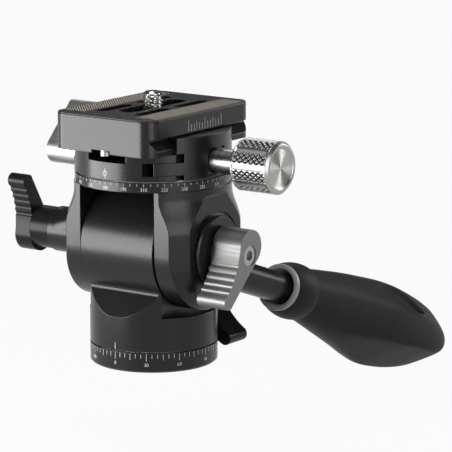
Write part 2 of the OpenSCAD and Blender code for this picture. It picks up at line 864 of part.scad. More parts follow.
module drag_lever() {
  color(body_black) at_tilt() difference() {
    union() {
      along_x(-drag_lever_x, -drag_arm_x) rotate(drag_lever_a) ribbed_lever_outline();
      round_x(boss_d - drag_hub_step, -drag_arm_x, -drag_hub_x);
    }
    round_x(stud_d + 2 * seat_gap, -drag_stud_end, cut - drag_hub_x);
    round_x(stud_d / 2 + 2 * seat_gap, -drag_lever_x, -drag_hub_x);
    round_x(screw_head_d, -drag_lever_x - cut, screw_recess - drag_lever_x);
  }
}

module drag_lever_screw() {
  shank = drag_lever_x - drag_stud_end - screw_recess + screw_grip;
  color(steel) at_tilt() translate([screw_recess - head_h - drag_lever_x, 0, 0]) {
    rotate([0, -90, 0]) socket_screw(stud_d / 2, shank);
  }
}

// Pan handle

module handle_rod() {
  color(body_black) along_handle() {
    translate([0, 0, rod_start]) rotate_extrude() {
      polygon([[0, 0], [rod_r, 0], [rod_r, rod_end - rod_start - rod_edge],
               [rod_r - rod_edge, rod_end - rod_start], [0, rod_end - rod_start]]);
    }
    translate([0, 0, handle_stud_start]) cylinder(d = handle_stud_d, h = rod_start - handle_stud_start);
  }
}

// Ring with a rounded lip that closes the grip's mouth
module grip_lip() {
  wall = (lip_d - rod_d) / 2 - seat_gap;
  color(lip_grey) along_handle() rotate_extrude() difference() {
    union() {
      square_to(rod_r + seat_gap, lip_d / 2, grip_start + wall / 2, collar_start + collar_l / 2);
      translate([rod_r + seat_gap + wall / 2, grip_start + wall / 2]) circle(d = wall);
    }
    translate([rod_r, grip_start - cut]) square([wall / 2, cut + wall / 2]);
  }
}

// Bulged rubber collar round the lip ring
module grip_collar() {
  color(rubber_black) along_handle() rotate_extrude() intersection() {
    square_to(lip_d / 2 + seat_gap, collar_d, collar_start, grip_z);
    translate([collar_d / 2 - bulge_r, collar_start + collar_l * bulge_share]) circle(r = bulge_r);
  }
}

// Grip sections: share of the length, height of the round, of the thumb's flat, half width of the round,
// distance of the side flats, depth of the round
grip_sections = [
  [0, 8.3, 9, 8.3, 9.2, 8.3], [0.12, 9.1, 9.6, 9.6, 10.5, 10.6], [0.25, 10.1, 10.2, 10.8, 11.6, 13.4],
  [0.4, 10.8, 10.6, 12, 12.1, 16.2], [0.53, 11.2, 10.8, 12.8, 12.2, 18.3], [0.62, 10.9, 10.3, 13, 12.1, 19.2],
  [0.74, 9.5, 8.9, 12.6, 11.6, 18.6], [0.85, 7.6, 7.1, 11.3, 10.5, 16], [0.93, 5.5, 5.2, 8.8, 8.3, 12.4],
  [0.98, 3.1, 3, 5.2, 5.2, 7.8], [1, 0.5, 0.6, 0.8, 1, 1.2]
];
grip_sides = 60;
// Downward lean of the side flats, and how sharply the flats meet the round
grip_lean = 18;
grip_sharp = 24;

// Radius of a section at an angle from its top: a round, cut by the thumb's flat and the two side flats
function grip_radius(section, a) =
  let (round = norm([sin(a) / section[3], cos(a) / (cos(a) > 0 ? section[1] : section[5])]),
       thumb = max(cos(a), 0) / section[2],
       flank = max(abs(sin(a)) * cos(grip_lean) - cos(a) * sin(grip_lean), 0) / section[4])
  (round ^ grip_sharp + thumb ^ grip_sharp + flank ^ grip_sharp) ^ (-1 / grip_sharp);

function grip_ring(section) =
  [for (i = [0 : grip_sides - 1]) let (a = 360 * i / grip_sides, r = grip_radius(section, a))
    [r * sin(a + grip_turn), -r * cos(a + grip_turn), grip_z + section[0] * grip_l]];

module grip_solid() {
  count = len(grip_sections);
  points = [for (section = grip_sections) each grip_ring(section)];
  near = [[for (i = [0 : grip_sides - 1]) i]];
  end = [[for (i = [grip_sides - 1 : -1 : 0]) (count - 1) * grip_sides + i]];
  sides = [for (k = [0 : count - 2], i = [0 : grip_sides - 1])
    let (j = (i + 1) % grip_sides, a = k * grip_sides)
    each [[a + i, a + grip_sides + i, a + j], [a + j, a + grip_sides + i, a + grip_sides + j]]];
  polyhedron(points, concat(near, sides, end));
}

module handle_grip() {
  color(rubber_black) along_handle() difference() {
    grip_solid();
    translate([0, 0, grip_z - cut]) cylinder(r = rod_r + seat_gap, h = cut + rod_hold + seat_gap);
  }
}

// Panning clamp

module clamp_washer() {
  color(slip_white) translate([0, 0, yoke_top]) {
    ring(clamp_spindle_d + 2 * seat_gap, ring_d - 2 * washer_inset, clamp_gap - face_gap);
  }
}

module clamp_spindle() {
  color(steel) difference() {
    translate([0, 0, clamp_spindle_z]) cylinder(d = clamp_spindle_d, h = clamp_spindle_top - clamp_spindle_z);
    translate([0, 0, yoke_top]) cylinder(d = clamp_spindle_d / 2 + 2 * seat_gap, h = far);
  }
}

module clamp_keeper() {
  color(steel) difference() {
    union() {
      translate([0, 0, clamp_spindle_top]) cylinder(d = keeper_d, h = keeper_t);
      translate([0, 0, yoke_top]) cylinder(d = clamp_spindle_d / 2, h = clamp_spindle_top - yoke_top);
    }
    translate([0, 0, clamp_spindle_top + keeper_t - drive_depth]) {
      cylinder(d = keeper_drive, h = far, $fn = 6);
    }
  }
}

// Inner side of a jaw: lip over the plate's dovetail, kept clear of it by the sliding fit
module jaw_lip_profile(outer) {
  gap = slide_gap * sqrt(2);
  tip = half_w - undercut + 2 * slide_gap;
  knee = plate_z + foot_h;
  polygon([[outer, jaw_top], [tip, jaw_top], [tip, knee + half_w + gap - tip],
           [half_w + gap, knee], [half_w + gap, plate_z], [outer, plate_z]]);
}

module lip_block() {
  intersection() {
    translate([0, 0, bed_z]) cylinder(d = clamp_d, h = jaw_top - bed_z);
    along_y(-lip_y, lip_y) jaw_lip_profile(clamp_d);
  }
}

module clamp_bed() {
  color(body_black) difference() {
    union() {
      intersection() {
        translate([0, 0, bed_z]) cylinder(d = clamp_d, h = bed_h);
        along_y(-far, far) square_to(-far, wall_x, 0, far);
      }
      mirror([1, 0, 0]) intersection() {
        translate([0, 0, bed_z]) cylinder(d = clamp_d, h = jaw_top - bed_z);
        along_y(-lip_y, lip_y) {
          jaw_lip_profile(clamp_d);
          square_to(half_w + slide_gap * sqrt(2), clamp_d, bed_top - cut, jaw_top);
        }
      }
    }
    tongue_pocket(tongue_z0, tongue_z1);
    for (side = [0, 1]) mirror([0, side, 0]) along_y(keeper_bore / 2 + channel_wall, far) {
      square_to(-channel_w, channel_w, bed_top - channel_h, far);
    }
    translate([0, 0, bed_z - cut]) cylinder(d = clamp_spindle_d + 2 * run_gap, h = bed_h);
    translate([0, 0, clamp_spindle_top - face_gap]) cylinder(d = keeper_bore, h = far);
    translate([0, 0, knob_z]) round_x(clamp_screw_d + 2 * run_gap, 0, far);
    translate([0, 0, lock_z]) round_x(lock_stud_d + 2 * run_gap, -far, 0);
    guide_pin_places() round_x(pin_d + 2 * seat_gap, pin_root, far);
  }
}

// Pocket for the jaw's tongue, with the screw's boss left standing in its middle
module tongue_pocket(z0, z1) {
  difference() {
    along_y(-far, far) square_to(pocket_x, far, z0, z1);
    along_y(-screw_boss_y, screw_boss_y) square_to(0, screw_boss_x, 0, far);
  }
}

module guide_pin_places() {
  for (side = [-1, 1]) translate([0, side * pin_y, pin_z]) children();
}

module guide_pins() {
  color(steel) guide_pin_places() round_x(pin_d, pin_root, pin_end);
}

module jaw_springs() {
  color(steel) guide_pin_places() {
    ring_x(pin_d + 2 * seat_gap, spring_d, pocket_x, tongue_x - face_gap);
  }
}

module clamp_jaw() {
  tongue_notch = screw_boss_y + free_gap;
  sleeve_room = sleeve_d / 2 + sleeve_gap;
  color(body_black) difference() {
    union() {
      lip_block();
      intersection() {
        translate([0, 0, bed_z]) cylinder(d = clamp_d, h = jaw_top - bed_z);
        along_y(-far, far) {
          square_to(jaw_x, far, bed_z, plate_z);
          square_to(tongue_x, far, tongue_z0 + face_gap, tongue_z1 - face_gap);
        }
      }
    }
    along_y(-tongue_notch, tongue_notch) square_to(0, screw_boss_x + free_gap, 0, bed_top);
    along_y(-sleeve_room, sleeve_room) {
      square_to(clamp_r - sleeve_sink, far, knob_z - sleeve_room, knob_z + sleeve_room);
    }
    translate([0, 0, knob_z]) round_x(clamp_screw_d + 2 * run_gap, 0, far);
    guide_pin_places() round_x(pin_d + 2 * run_gap, 0, pin_end + 2 * face_gap);
  }
}

module clamp_screw() {
  color(steel) translate([0, 0, knob_z]) {
    round_x(sleeve_d, clamp_r - sleeve_sink + face_gap, knob_x);
    round_x(clamp_screw_d, screw_end, clamp_r);
  }
}

// Fluted knob with a sunk end face
module clamp_knob() {
  r = knob_d / 2;
  face_r = r - knob_chamfer - knob_rim;
  color(steel) translate([knob_x, 0, knob_z]) rotate([0, 90, 0]) difference() {
    rotate_extrude() polygon([
      [0, 0], [r - knob_chamfer, 0], [r, knob_chamfer], [r, knob_l - knob_chamfer],
      [r - knob_chamfer, knob_l], [face_r, knob_l],
      [face_r - knob_sink, knob_l - knob_sink], [0, knob_l - knob_sink]]);
    for (i = [0 : flute_count - 1]) rotate([0, 0, flute_turn + 360 * i / flute_count]) {
      translate([r + flute_r - flute_depth, 0, -cut]) cylinder(r = flute_r, h = knob_l + 2 * cut, $fn = 48);
    }
  }
}

module at_lock() {
  translate([0, 0, lock_z]) children();
}

module lock_stud() {
  color(steel) at_lock() difference() {
    round_x(lock_stud_d, -lock_lever_x - lock_lever_w / 2, -clamp_spindle_d / 2 - 2 * face_gap);
    round_x(lock_stud_d / 2 + 2 * seat_gap, -lock_lever_end, -lock_lever_x);
  }
}

module lock_lever() {
  color(steel) at_lock() difference() {
    union() {
      along_x(-lock_lever_end, -lock_lever_x) rotate(lock_lever_a) {
        circle(r = lock_hub_r);
        translate([lock_reach, 0]) circle(r = lock_tail_r);
        lock_web();
      }
      round_x(lock_collar_d, -lock_lever_x, -clamp_r - lever_clear);
    }
    round_x(lock_stud_d + 2 * seat_gap, -lock_lever_x - lock_lever_w / 2, 0);
    round_x(lock_stud_d / 2 + 2 * seat_gap, -far, 0);
    round_x(screw_head_d, -lock_lever_end - cut, screw_recess - lock_lever_end);
  }
}

// Straight web between the clamp lever's hub and tail
module lock_web() {
  r0 = lock_hub_r - blend;
  r1 = lock_tail_r - blend;
  tail = [lock_reach, 0];
  lean = asin((r0 - r1) / lock_reach);
  polygon([for (side = [[-1, 0], [-1, 1], [1, 1], [1, 0]]) let (n = [sin(lean), side[0] * cos(lean)])
    side[1] * tail + (side[1] == 0 ? r0 : r1) * n]);
}

module lock_lever_screw() {
  shank = lock_lever_w / 2 - screw_recess + screw_grip;
  color(steel) at_lock() translate([screw_recess - head_h - lock_lever_end, 0, 0]) {
    rotate([0, -90, 0]) socket_screw(lock_stud_d / 2, shank);
  }
}

// Camera plate

module plate_outline(inset) {
  x = half_w - plate_corner;
  y = half_l - plate_corner;
  square([2 * (half_w - inset), 2 * y], center = true);
  square([2 * x, 2 * (half_l - inset)], center = true);
  for (sx = [-1, 1], sy = [-1, 1]) translate([sx * x, sy * y]) circle(r = plate_corner - inset);
}

// Dovetail undercut along one side, ending in the cutter's round run-out
module undercut_side() {
  foot = plate_z + foot_h;
  run_y = end_block - half_l;
  along_y(run_y, far) polygon([
    [half_w, foot], [half_w - undercut, neck_z], [half_w - undercut, flange_under],
    [far, flange_under], [far, foot]]);
  translate([half_w + runout_r, run_y, foot]) {
    cylinder(r1 = runout_r, r2 = runout_r + undercut, h = undercut);
    translate([0, 0, undercut]) cylinder(r = runout_r + undercut, h = dovetail_neck);
  }
}

module slot_outline(w, y0, y1) {
  translate([0, (y0 + y1) / 2]) square([2 * w, y1 - y0 - 2 * w], center = true);
  for (y = [y0 + w, y1 - w]) translate([0, y]) circle(r = w);
}

module camera_plate() {
  color(body_black) difference() {
    union() {
      translate([0, 0, plate_z]) linear_extrude(height = plate_h - plate_chamfer) plate_outline(0);
      translate([0, 0, plate_top - plate_chamfer]) {
        linear_extrude(height = plate_chamfer) plate_outline(plate_chamfer / 2);
      }
    }
    for (side = [0, 1]) mirror([side, 0, 0]) undercut_side();
    translate([0, 0, plate_z - cut]) {
      linear_extrude(height = plate_h + 2 * cut) slot_outline(slot_w, -slot_y, slot_y);
      linear_extrude(height = pocket_top - plate_z + cut) slot_outline(pocket_w, -pocket_y, pocket_y);
      linear_extrude(height = stop_channel_h + cut) {
        square([2 * stop_channel_w, 2 * plate_l], center = true);
      }
    }
    for (sx = [-1, 1], sy = [0, 1]) mirror([0, sy, 0]) {
      translate([sx * recess_x, 0, plate_top - recess_depth]) linear_extrude(height = recess_depth + cut) {
        slot_outline(recess_w / 2, recess_y0, recess_y1);
      }
    }
    for (sx = [-1, 1]) translate([sx * pad_x, 0, plate_top - pad_sink]) {
      linear_extrude(height = pad_sink + cut) square([pad_w, 2 * pad_y], center = true);
    }
    stop_screw_places() cylinder(d = stop_d / 2 + 2 * seat_gap, h = stop_shank + lever_clear);
  }
}

module grip_pad(side) {
  outline = [pad_w - 2 * seat_gap, 2 * (pad_y - seat_gap)];
  translate([side * pad_x, 0, plate_top - pad_sink]) {
    linear_extrude(height = pad_sink + pad_proud) square(outline, center = true);
  }
}

module pad_left() {
  color(pad_taupe) grip_pad(-1);
}

module pad_right() {
  color(pad_taupe) grip_pad(1);
}

module stop_screw_places() {
  for (side = [-1, 1]) translate([0, side * stop_y, plate_z + stop_channel_h]) children();
}

module stop_screws() {
  color(steel) stop_screw_places() difference() {
    union() {
      translate([0, 0, -stop_head_h]) cylinder(d = stop_d, h = stop_head_h);
      cylinder(d = stop_d / 2, h = stop_shank);
    }
    translate([0, 0, -stop_head_h - cut]) {
      cylinder(d = stop_d * drive_share, h = cut + stop_head_h / 2, $fn = 6);
    }
  }
}

// Captive washer that carries the camera screw along its slot
module screw_washer() {
  color(steel) translate([0, 0, pocket_top - face_gap - carrier_t]) {
    ring(screw_shank_d + 2 * run_gap, carrier_d, carrier_t);
  }
}

module camera_screw() {
  r = camera_screw_d / 2;
  shank = screw_shank_d / 2;
  head_top = pocket_top - carrier_t - 2 * face_gap;
  thread_z = plate_top + pad_proud + 2 * face_gap;
  thread_end = thread_z + camera_thread_h;
  color(steel) difference() {
    rotate_extrude() polygon([
      [0, head_top - screw_head_t], [carrier_d / 2, head_top - screw_head_t], [carrier_d / 2, head_top],
      [shank, head_top], [shank, thread_z], [r, thread_z], [r, thread_end],
      [r - screw_tip, thread_end + screw_tip], [0, thread_end + screw_tip]]);
    translate([0, 0, head_top - screw_head_t - cut]) {
      cylinder(d = screw_drive, h = cut + drive_depth, $fn = 6);
    }
  }
}

base_disc();
tripod_insert();
pan_spindle();
spindle_screws();
pan_washer();
pan_housing();
pan_retainer();
pan_drag_disc();
pan_lock_pad();
bush_left();
bush_right();
pan_stud();
pan_lever();
pan_lever_screw();
yoke();
tilt_shaft();
drag_drum();
thrust_left();
thrust_right();
cheek_cap();
drag_boss();
handle_rod();
grip_lip();
grip_collar();
handle_grip();
clamp_washer();
clamp_spindle();
clamp_keeper();
tilt_stud();
tilt_lever();
tilt_lever_screw();
drag_stud();
drag_lever();
drag_lever_screw();
clamp_bed();
guide_pins();
jaw_springs();
lock_stud();
lock_lever();
lock_lever_screw();
clamp_jaw();
clamp_screw();
clamp_knob();
camera_plate();
pad_left();
pad_right();
stop_screws();
screw_washer();
camera_screw();
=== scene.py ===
import json
import math

import bmesh
import bpy
import numpy as np
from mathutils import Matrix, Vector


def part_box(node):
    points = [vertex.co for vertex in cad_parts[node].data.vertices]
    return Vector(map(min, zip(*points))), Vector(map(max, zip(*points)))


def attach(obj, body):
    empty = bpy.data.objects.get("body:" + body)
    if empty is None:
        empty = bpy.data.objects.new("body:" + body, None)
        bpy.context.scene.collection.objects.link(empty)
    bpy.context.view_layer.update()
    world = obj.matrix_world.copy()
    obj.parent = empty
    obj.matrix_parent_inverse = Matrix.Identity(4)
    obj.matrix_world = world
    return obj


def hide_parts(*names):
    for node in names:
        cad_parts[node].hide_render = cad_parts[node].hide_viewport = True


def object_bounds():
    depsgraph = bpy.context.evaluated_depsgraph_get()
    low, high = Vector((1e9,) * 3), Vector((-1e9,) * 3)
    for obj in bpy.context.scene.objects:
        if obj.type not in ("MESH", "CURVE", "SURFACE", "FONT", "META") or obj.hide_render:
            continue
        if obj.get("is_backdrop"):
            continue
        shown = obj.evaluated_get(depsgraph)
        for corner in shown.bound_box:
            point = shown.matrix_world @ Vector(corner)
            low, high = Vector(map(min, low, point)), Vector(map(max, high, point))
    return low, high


# Looks of a small fluid video head: its finishes, knurled knob, thread, rubber grip, pads and scales
mm = 0.001
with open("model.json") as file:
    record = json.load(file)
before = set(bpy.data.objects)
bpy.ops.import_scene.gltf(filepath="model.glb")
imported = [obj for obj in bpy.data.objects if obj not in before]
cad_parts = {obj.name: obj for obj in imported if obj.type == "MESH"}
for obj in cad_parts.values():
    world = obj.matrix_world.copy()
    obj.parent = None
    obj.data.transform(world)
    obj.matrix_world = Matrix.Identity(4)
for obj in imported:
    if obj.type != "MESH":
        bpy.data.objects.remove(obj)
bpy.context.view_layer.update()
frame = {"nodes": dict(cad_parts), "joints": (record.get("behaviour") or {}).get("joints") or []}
nodes = frame["nodes"]
print("frame loaded with", len(nodes), "nodes")

# Lines that the pieces share, in millimetres and degrees
tiltHeight = next(j["pos_m"][2] for j in frame["joints"] if j["name"] == "tilt") / mm
handleLine = {"x": 19.2, "drop": 4.7, "slope": 19.5}


# Mesh helpers; the pieces are drawn in millimetres

tiny = 1e-6
welding = {"weld": 2e-7, "sliver": 1e-8}  # metres


def cubicThrough(at, knots, values):  # smooth curve through the knots, slopes taken from the neighbours
    slopes = np.gradient(values, knots)
    i = np.clip(np.searchsorted(knots, at, side="right") - 1, 0, len(knots) - 2)
    step = knots[i + 1] - knots[i]
    t = (at - knots[i]) / step
    start = values[i] * (1 + 2 * t) * (1 - t) ** 2 + slopes[i] * step * t * (1 - t) ** 2
    return start + values[i + 1] * t * t * (3 - 2 * t) - slopes[i + 1] * step * t * t * (1 - t)


def smoothStep(low, high, value):  # 0 below low, 1 above high, with an even S between
    t = np.clip((value - low) / (high - low), 0, 1)
    return t * t * (3 - 2 * t)


def roundAngles(count):  # a column of even angles round a circle
    return np.arange(count)[:, None] * 2 * np.pi / count


def gridQuads(count, length, wrapU, wrapV):  # quads that join each place to the next in i and in j
    i = np.arange(count if wrapU else count - 1)[:, None]
    j = np.arange(length if wrapV else length - 1)[None, :]
    iNext, jNext = (i + 1) % count, (j + 1) % length
    return np.stack([i * length + j, iNext * length + j, iNext * length + jNext, i * length + jNext], -1)


def addLayer(mesh, name, corners):  # UV layer with a pair of numbers for each corner of a face
    layer = mesh.uv_layers.new(name=name)
    layer.data.foreach_set("uv", corners.reshape(-1).astype(np.float32))


def gridPiece(name, points, finish, body, node, sharp, wrapU=True, wrapV=False, depth=None):
    # points[i, j] is one place on the surface; depth, where given, is kept as a UV layer, from which the finish paints
    # shade in the grooves
    count, length = points.shape[:2]
    quads = gridQuads(count, length, wrapU, wrapV)
    mesh = bpy.data.meshes.new(name)
    mesh.from_pydata((points.reshape(-1, 3) * mm).tolist(), [], quads.reshape(-1, 4).tolist())
    i, j = np.arange(quads.shape[0])[:, None], np.arange(quads.shape[1])[None, :]
    corners = [np.stack([(i + a) / count + 0 * j, (j + b) / length + 0 * i], -1)
               for a, b in ((0, 0), (1, 0), (1, 1), (0, 1))]
    addLayer(mesh, "wrap", np.stack(corners, -2))
    if depth is not None:
        deep = depth.reshape(-1)[quads]
        addLayer(mesh, "groove", np.stack([deep, deep], -1))
    return settle(name, mesh, finish, body, node, sharp)


def settle(name, mesh, finish, body, node, sharp):
    # merges poles and seams, turns faces outwards, and puts the piece on its body
    work = bmesh.new()
    work.from_mesh(mesh)
    bmesh.ops.remove_doubles(work, verts=work.verts, dist=welding["weld"])
    bmesh.ops.dissolve_degenerate(work, edges=work.edges, dist=welding["sliver"])
    bmesh.ops.recalc_face_normals(work, faces=work.faces)
    work.to_mesh(mesh)
    work.free()
    mesh.shade_smooth()
    mesh.set_sharp_from_angle(angle=math.radians(sharp))
    mesh.materials.append(finish)
    piece = bpy.data.objects.new(name, mesh)
    bpy.context.scene.collection.objects.link(piece)
    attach(piece, body)
    if node:
        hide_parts(node)
    return piece


def turned(profile, count):  # profile rows are (radius, height); the row is carried round the Z axis
    angle = roundAngles(count)
    radius, height = profile[None, :, 0], profile[None, :, 1]
    return np.stack([radius * np.cos(angle), radius * np.sin(angle), height + 0 * angle], -1)


def onHandle(points):  # local x across, y down from the rod, z along it -> the head's own axes
    slope = math.radians(handleLine["slope"])
    across = points[..., 0] + handleLine["x"]
    down = points[..., 1] + handleLine["drop"]
    run = points[..., 2]
    y = run * math.cos(slope) - down * math.sin(slope)
    z = tiltHeight - run * math.sin(slope) - down * math.cos(slope)
    return np.stack([across, y, z], -1)


# Material helpers

noiseSpan = (0.3, 0.7)  # where most of a noise's values lie
bevelSamples = 6
mixSockets = {"share": 0, "low": 6, "high": 7, "result": 2}  # of a colour mix


def newFinish(name, colour, roughness, metallic=0.0):
    finish = bpy.data.materials.new(name)
    finish.use_nodes = True
    tree = finish.node_tree
    shader = tree.nodes["Principled BSDF"]
    shader.inputs["Base Color"].default_value = (*colour, 1)
    shader.inputs["Roughness"].default_value = roughness
    shader.inputs["Metallic"].default_value = metallic
    place = tree.nodes.new("ShaderNodeTexCoord")
    return finish, tree, shader, place.outputs["Object"]


def addNoise(tree, place, scale, detail, stretch=(1, 1, 1)):
    mapping = tree.nodes.new("ShaderNodeMapping")
    mapping.inputs["Scale"].default_value = stretch
    tree.links.new(place, mapping.inputs["Vector"])
    noise = tree.nodes.new("ShaderNodeTexNoise")
    noise.inputs["Scale"].default_value = scale
    noise.inputs["Detail"].default_value = detail
    tree.links.new(mapping.outputs["Vector"], noise.inputs["Vector"])
    return noise.outputs["Fac"]


def addRamp(tree, value, low, high, span=noiseSpan):  # value over the span becomes low..high
    ramp = tree.nodes.new("ShaderNodeMapRange")
    ramp.inputs["From Min"].default_value = span[0]
    ramp.inputs["From Max"].default_value = span[1]
    ramp.inputs["To Min"].default_value = low
    ramp.inputs["To Max"].default_value = high
    tree.links.new(value, ramp.inputs["Value"])
    return ramp.outputs["Result"]


def addTint(tree, value, low, high):  # colour between two tones, each a tuple or another node's output
    mix = tree.nodes.new("ShaderNodeMix")
    mix.data_type = "RGBA"
    tree.links.new(value, mix.inputs[mixSockets["share"]])
    for end, tone in (("low", low), ("high", high)):
        socket = mix.inputs[mixSockets[end]]
        if isinstance(tone, tuple):
            socket.default_value = (*tone, 1)
        else:
            tree.links.new(tone, socket)
    return mix.outputs[mixSockets["result"]]


def addBump(tree, shader, height, depth, edge=0.0):  # bump in metres, over edges that look broken by edge metres
    bump = tree.nodes.new("ShaderNodeBump")
    bump.inputs["Strength"].default_value = 1.0
    bump.inputs["Distance"].default_value = depth
    tree.links.new(height, bump.inputs["Height"])
    if edge:
        bevel = tree.nodes.new("ShaderNodeBevel")
        bevel.samples = bevelSamples
        bevel.inputs["Radius"].default_value = edge
        tree.links.new(bevel.outputs["Normal"], bump.inputs["Normal"])
    tree.links.new(bump.outputs["Normal"], shader.inputs["Normal"])


def addMath(tree, operation, first, second):  # second is a number or another node's output
    node = tree.nodes.new("ShaderNodeMath")
    node.operation = operation
    tree.links.new(first, node.inputs[0])
    if isinstance(second, float):
        node.inputs[1].default_value = second
    else:
        tree.links.new(second, node.inputs[1])
    return node.outputs[0]


def oneAxis(tree, vector, axis):
    split = tree.nodes.new("ShaderNodeSeparateXYZ")
    tree.links.new(vector, split.inputs["Vector"])
    return split.outputs[axis]


def uvPlace(tree, layer):
    source = tree.nodes.new("ShaderNodeUVMap")
    source.uv_map = layer
    return source.outputs["UV"]


# Finishes

anodised = {
    "colour": (0.007, 0.007, 0.0072), "dark": (0.006, 0.006, 0.0062), "pale": (0.009, 0.009, 0.0092),
    "roughness": 0.32, "low": 0.23, "high": 0.31, "cloudScale": 90, "grainScale": 5200, "detail": 2,
    "bump": 0.0000015, "edge": 0.00028,
}
steel = {"lineScale": 1400, "detail": 4, "shade": 0.86, "bump": 0.000006}
# the groove tone in turning is painted shade at the bottom of the knurl grooves
turning = {
    "rotation": 0.25, "markScale": 60, "markStretch": (0.05, 6, 1), "markDetail": 3, "fineScale": 2600,
    "fineDetail": 2, "shade": 0.9, "grooveShadeTone": (0.02, 0.02, 0.02), "bump": 0.000002,
}
rubber = {"cloudScale": 140, "pebbleScale": 3000, "detail": 3, "spread": 0.06, "bump": 0.000012}
plastic = {"mottleScale": 900, "detail": 3, "bump": 0.000004}


def anodisedFinish(name, gloss):  # black anodised aluminium: blasted grain, slight cloud in tone
    k = anodised
    finish, tree, shader, place = newFinish(name, k["colour"], k["roughness"])
    shader.inputs["Specular IOR Level"].default_value = gloss
    cloud = addNoise(tree, place, k["cloudScale"], k["detail"])
    tree.links.new(addTint(tree, cloud, k["dark"], k["pale"]), shader.inputs["Base Color"])
    grain = addNoise(tree, place, k["grainScale"], k["detail"])
    tree.links.new(addRamp(tree, grain, k["low"], k["high"]), shader.inputs["Roughness"])
    addBump(tree, shader, grain, k["bump"], k["edge"])
    return finish


def steelFinish(name, colour, low, high, stretch, edge):  # bare metal with fine tool lines along one axis
    k = steel
    finish, tree, shader, place = newFinish(name, colour, (low + high) / 2, 1.0)
    lines = addNoise(tree, place, k["lineScale"], k["detail"], stretch)
    tree.links.new(addRamp(tree, lines, low, high), shader.inputs["Roughness"])
    shade = tuple(k["shade"] * c for c in colour)
    tree.links.new(addTint(tree, lines, shade, colour), shader.inputs["Base Color"])
    addBump(tree, shader, lines, k["bump"], edge)
    return finish


def turnedSteelFinish(name, colour, low, high, fan):
    # turned steel with painted shade in its grooves, darker the deeper the groove; fan spreads highlights across the
    # marks
    k = turning
    finish, tree, shader, place = newFinish(name, colour, (low + high) / 2, 1.0)
    shader.inputs["Anisotropic"].default_value = fan
    shader.inputs["Anisotropic Rotation"].default_value = k["rotation"]
    along = tree.nodes.new("ShaderNodeTangent")
    along.direction_type = "UV_MAP"
    along.uv_map = "wrap"
    tree.links.new(along.outputs["Tangent"], shader.inputs["Tangent"])
    marks = addNoise(tree, uvPlace(tree, "wrap"), k["markScale"], k["markDetail"], k["markStretch"])
    tree.links.new(addRamp(tree, marks, low, high), shader.inputs["Roughness"])
    fine = addNoise(tree, place, k["fineScale"], k["fineDetail"])
    bare = addTint(tree, fine, tuple(k["shade"] * c for c in colour), colour)
    # painted shade: the groove depth darkens the colour toward the groove shade tone
    deep = addRamp(tree, oneAxis(tree, uvPlace(tree, "groove"), "X"), 0, 1)
    tree.links.new(addTint(tree, deep, bare, k["grooveShadeTone"]), shader.inputs["Base Color"])
    addBump(tree, shader, marks, k["bump"])
    return finish


def rubberFinish(name, low, high, roughness, gloss):  # soft rubber: matt skin with a fine pebble
    k = rubber
    finish, tree, shader, place = newFinish(name, low, roughness)
    shader.inputs["Specular IOR Level"].default_value = gloss
    cloud = addNoise(tree, place, k["cloudScale"], k["detail"])
    tree.links.new(addTint(tree, cloud, low, high), shader.inputs["Base Color"])
    pebble = addNoise(tree, place, k["pebbleScale"], k["detail"])
    rough = addRamp(tree, pebble, roughness - k["spread"], roughness + k["spread"])
    tree.links.new(rough, shader.inputs["Roughness"])
    addBump(tree, shader, pebble, k["bump"])
    return finish


def plasticFinish(name, low, high, roughness):  # moulded or printed plastic with a faint mottle
    k = plastic
    finish, tree, shader, place = newFinish(name, low, roughness)
    mottle = addNoise(tree, place, k["mottleScale"], k["detail"])
    tree.links.new(addTint(tree, mottle, low, high), shader.inputs["Base Color"])
    addBump(tree, shader, mottle, k["bump"])
    return finish


blackAnodised = anodisedFinish("blackAnodised", gloss=0.28)
dullAnodised = anodisedFinish("dullAnodised", gloss=0.13)
leverSteel = steelFinish("leverSteel", (0.2, 0.2, 0.197), low=0.42, high=0.54, stretch=(0.06, 1, 1), edge=0.0003)
brightSteel = steelFinish("brightSteel", (0.43, 0.43, 0.42), low=0.34, high=0.46, stretch=(1, 0.1, 1), edge=0.0003)
screwSteel = steelFinish("screwSteel", (0.36, 0.36, 0.352), low=0.26, high=0.38, stretch=(1, 1, 0.15), edge=0.00012)
threadSteel = steelFinish("threadSteel", (0.66, 0.66, 0.65), low=0.15, high=0.24, stretch=(1, 1, 0.15), edge=0.0)
innerSteel = steelFinish("innerSteel", (0.42, 0.42, 0.41), low=0.32, high=0.45, stretch=(1, 1, 0.2), edge=0.0)
brassFinish = steelFinish("brassFinish", (0.7, 0.5, 0.22), low=0.28, high=0.42, stretch=(1, 0.2, 1), edge=0.0)
turnedSteel = turnedSteelFinish("turnedSteel", (0.36, 0.36, 0.353), low=0.32, high=0.4, fan=0.3)
facedSteel = turnedSteelFinish("facedSteel", (0.45, 0.45, 0.44), low=0.38, high=0.44, fan=0.97)
gripRubber = rubberFinish("gripRubber", (0.03, 0.03, 0.0304), (0.039, 0.039, 0.0394), roughness=0.36, gloss=0.013)
collarRubber = rubberFinish("collarRubber", (0.012, 0.012, 0.0123), (0.017, 0.017, 0.0173), roughness=0.55, gloss=0.12)
slipPlastic = plasticFinish("slipPlastic", (0.62, 0.61, 0.57), (0.7, 0.69, 0.65), roughness=0.45)
lipPlastic = plasticFinish("lipPlastic", (0.24, 0.24, 0.24), (0.29, 0.29, 0.29), roughness=0.4)
whiteInk = plasticFinish("whiteInk", (0.5, 0.5, 0.5), (0.6, 0.6, 0.6), roughness=0.55)

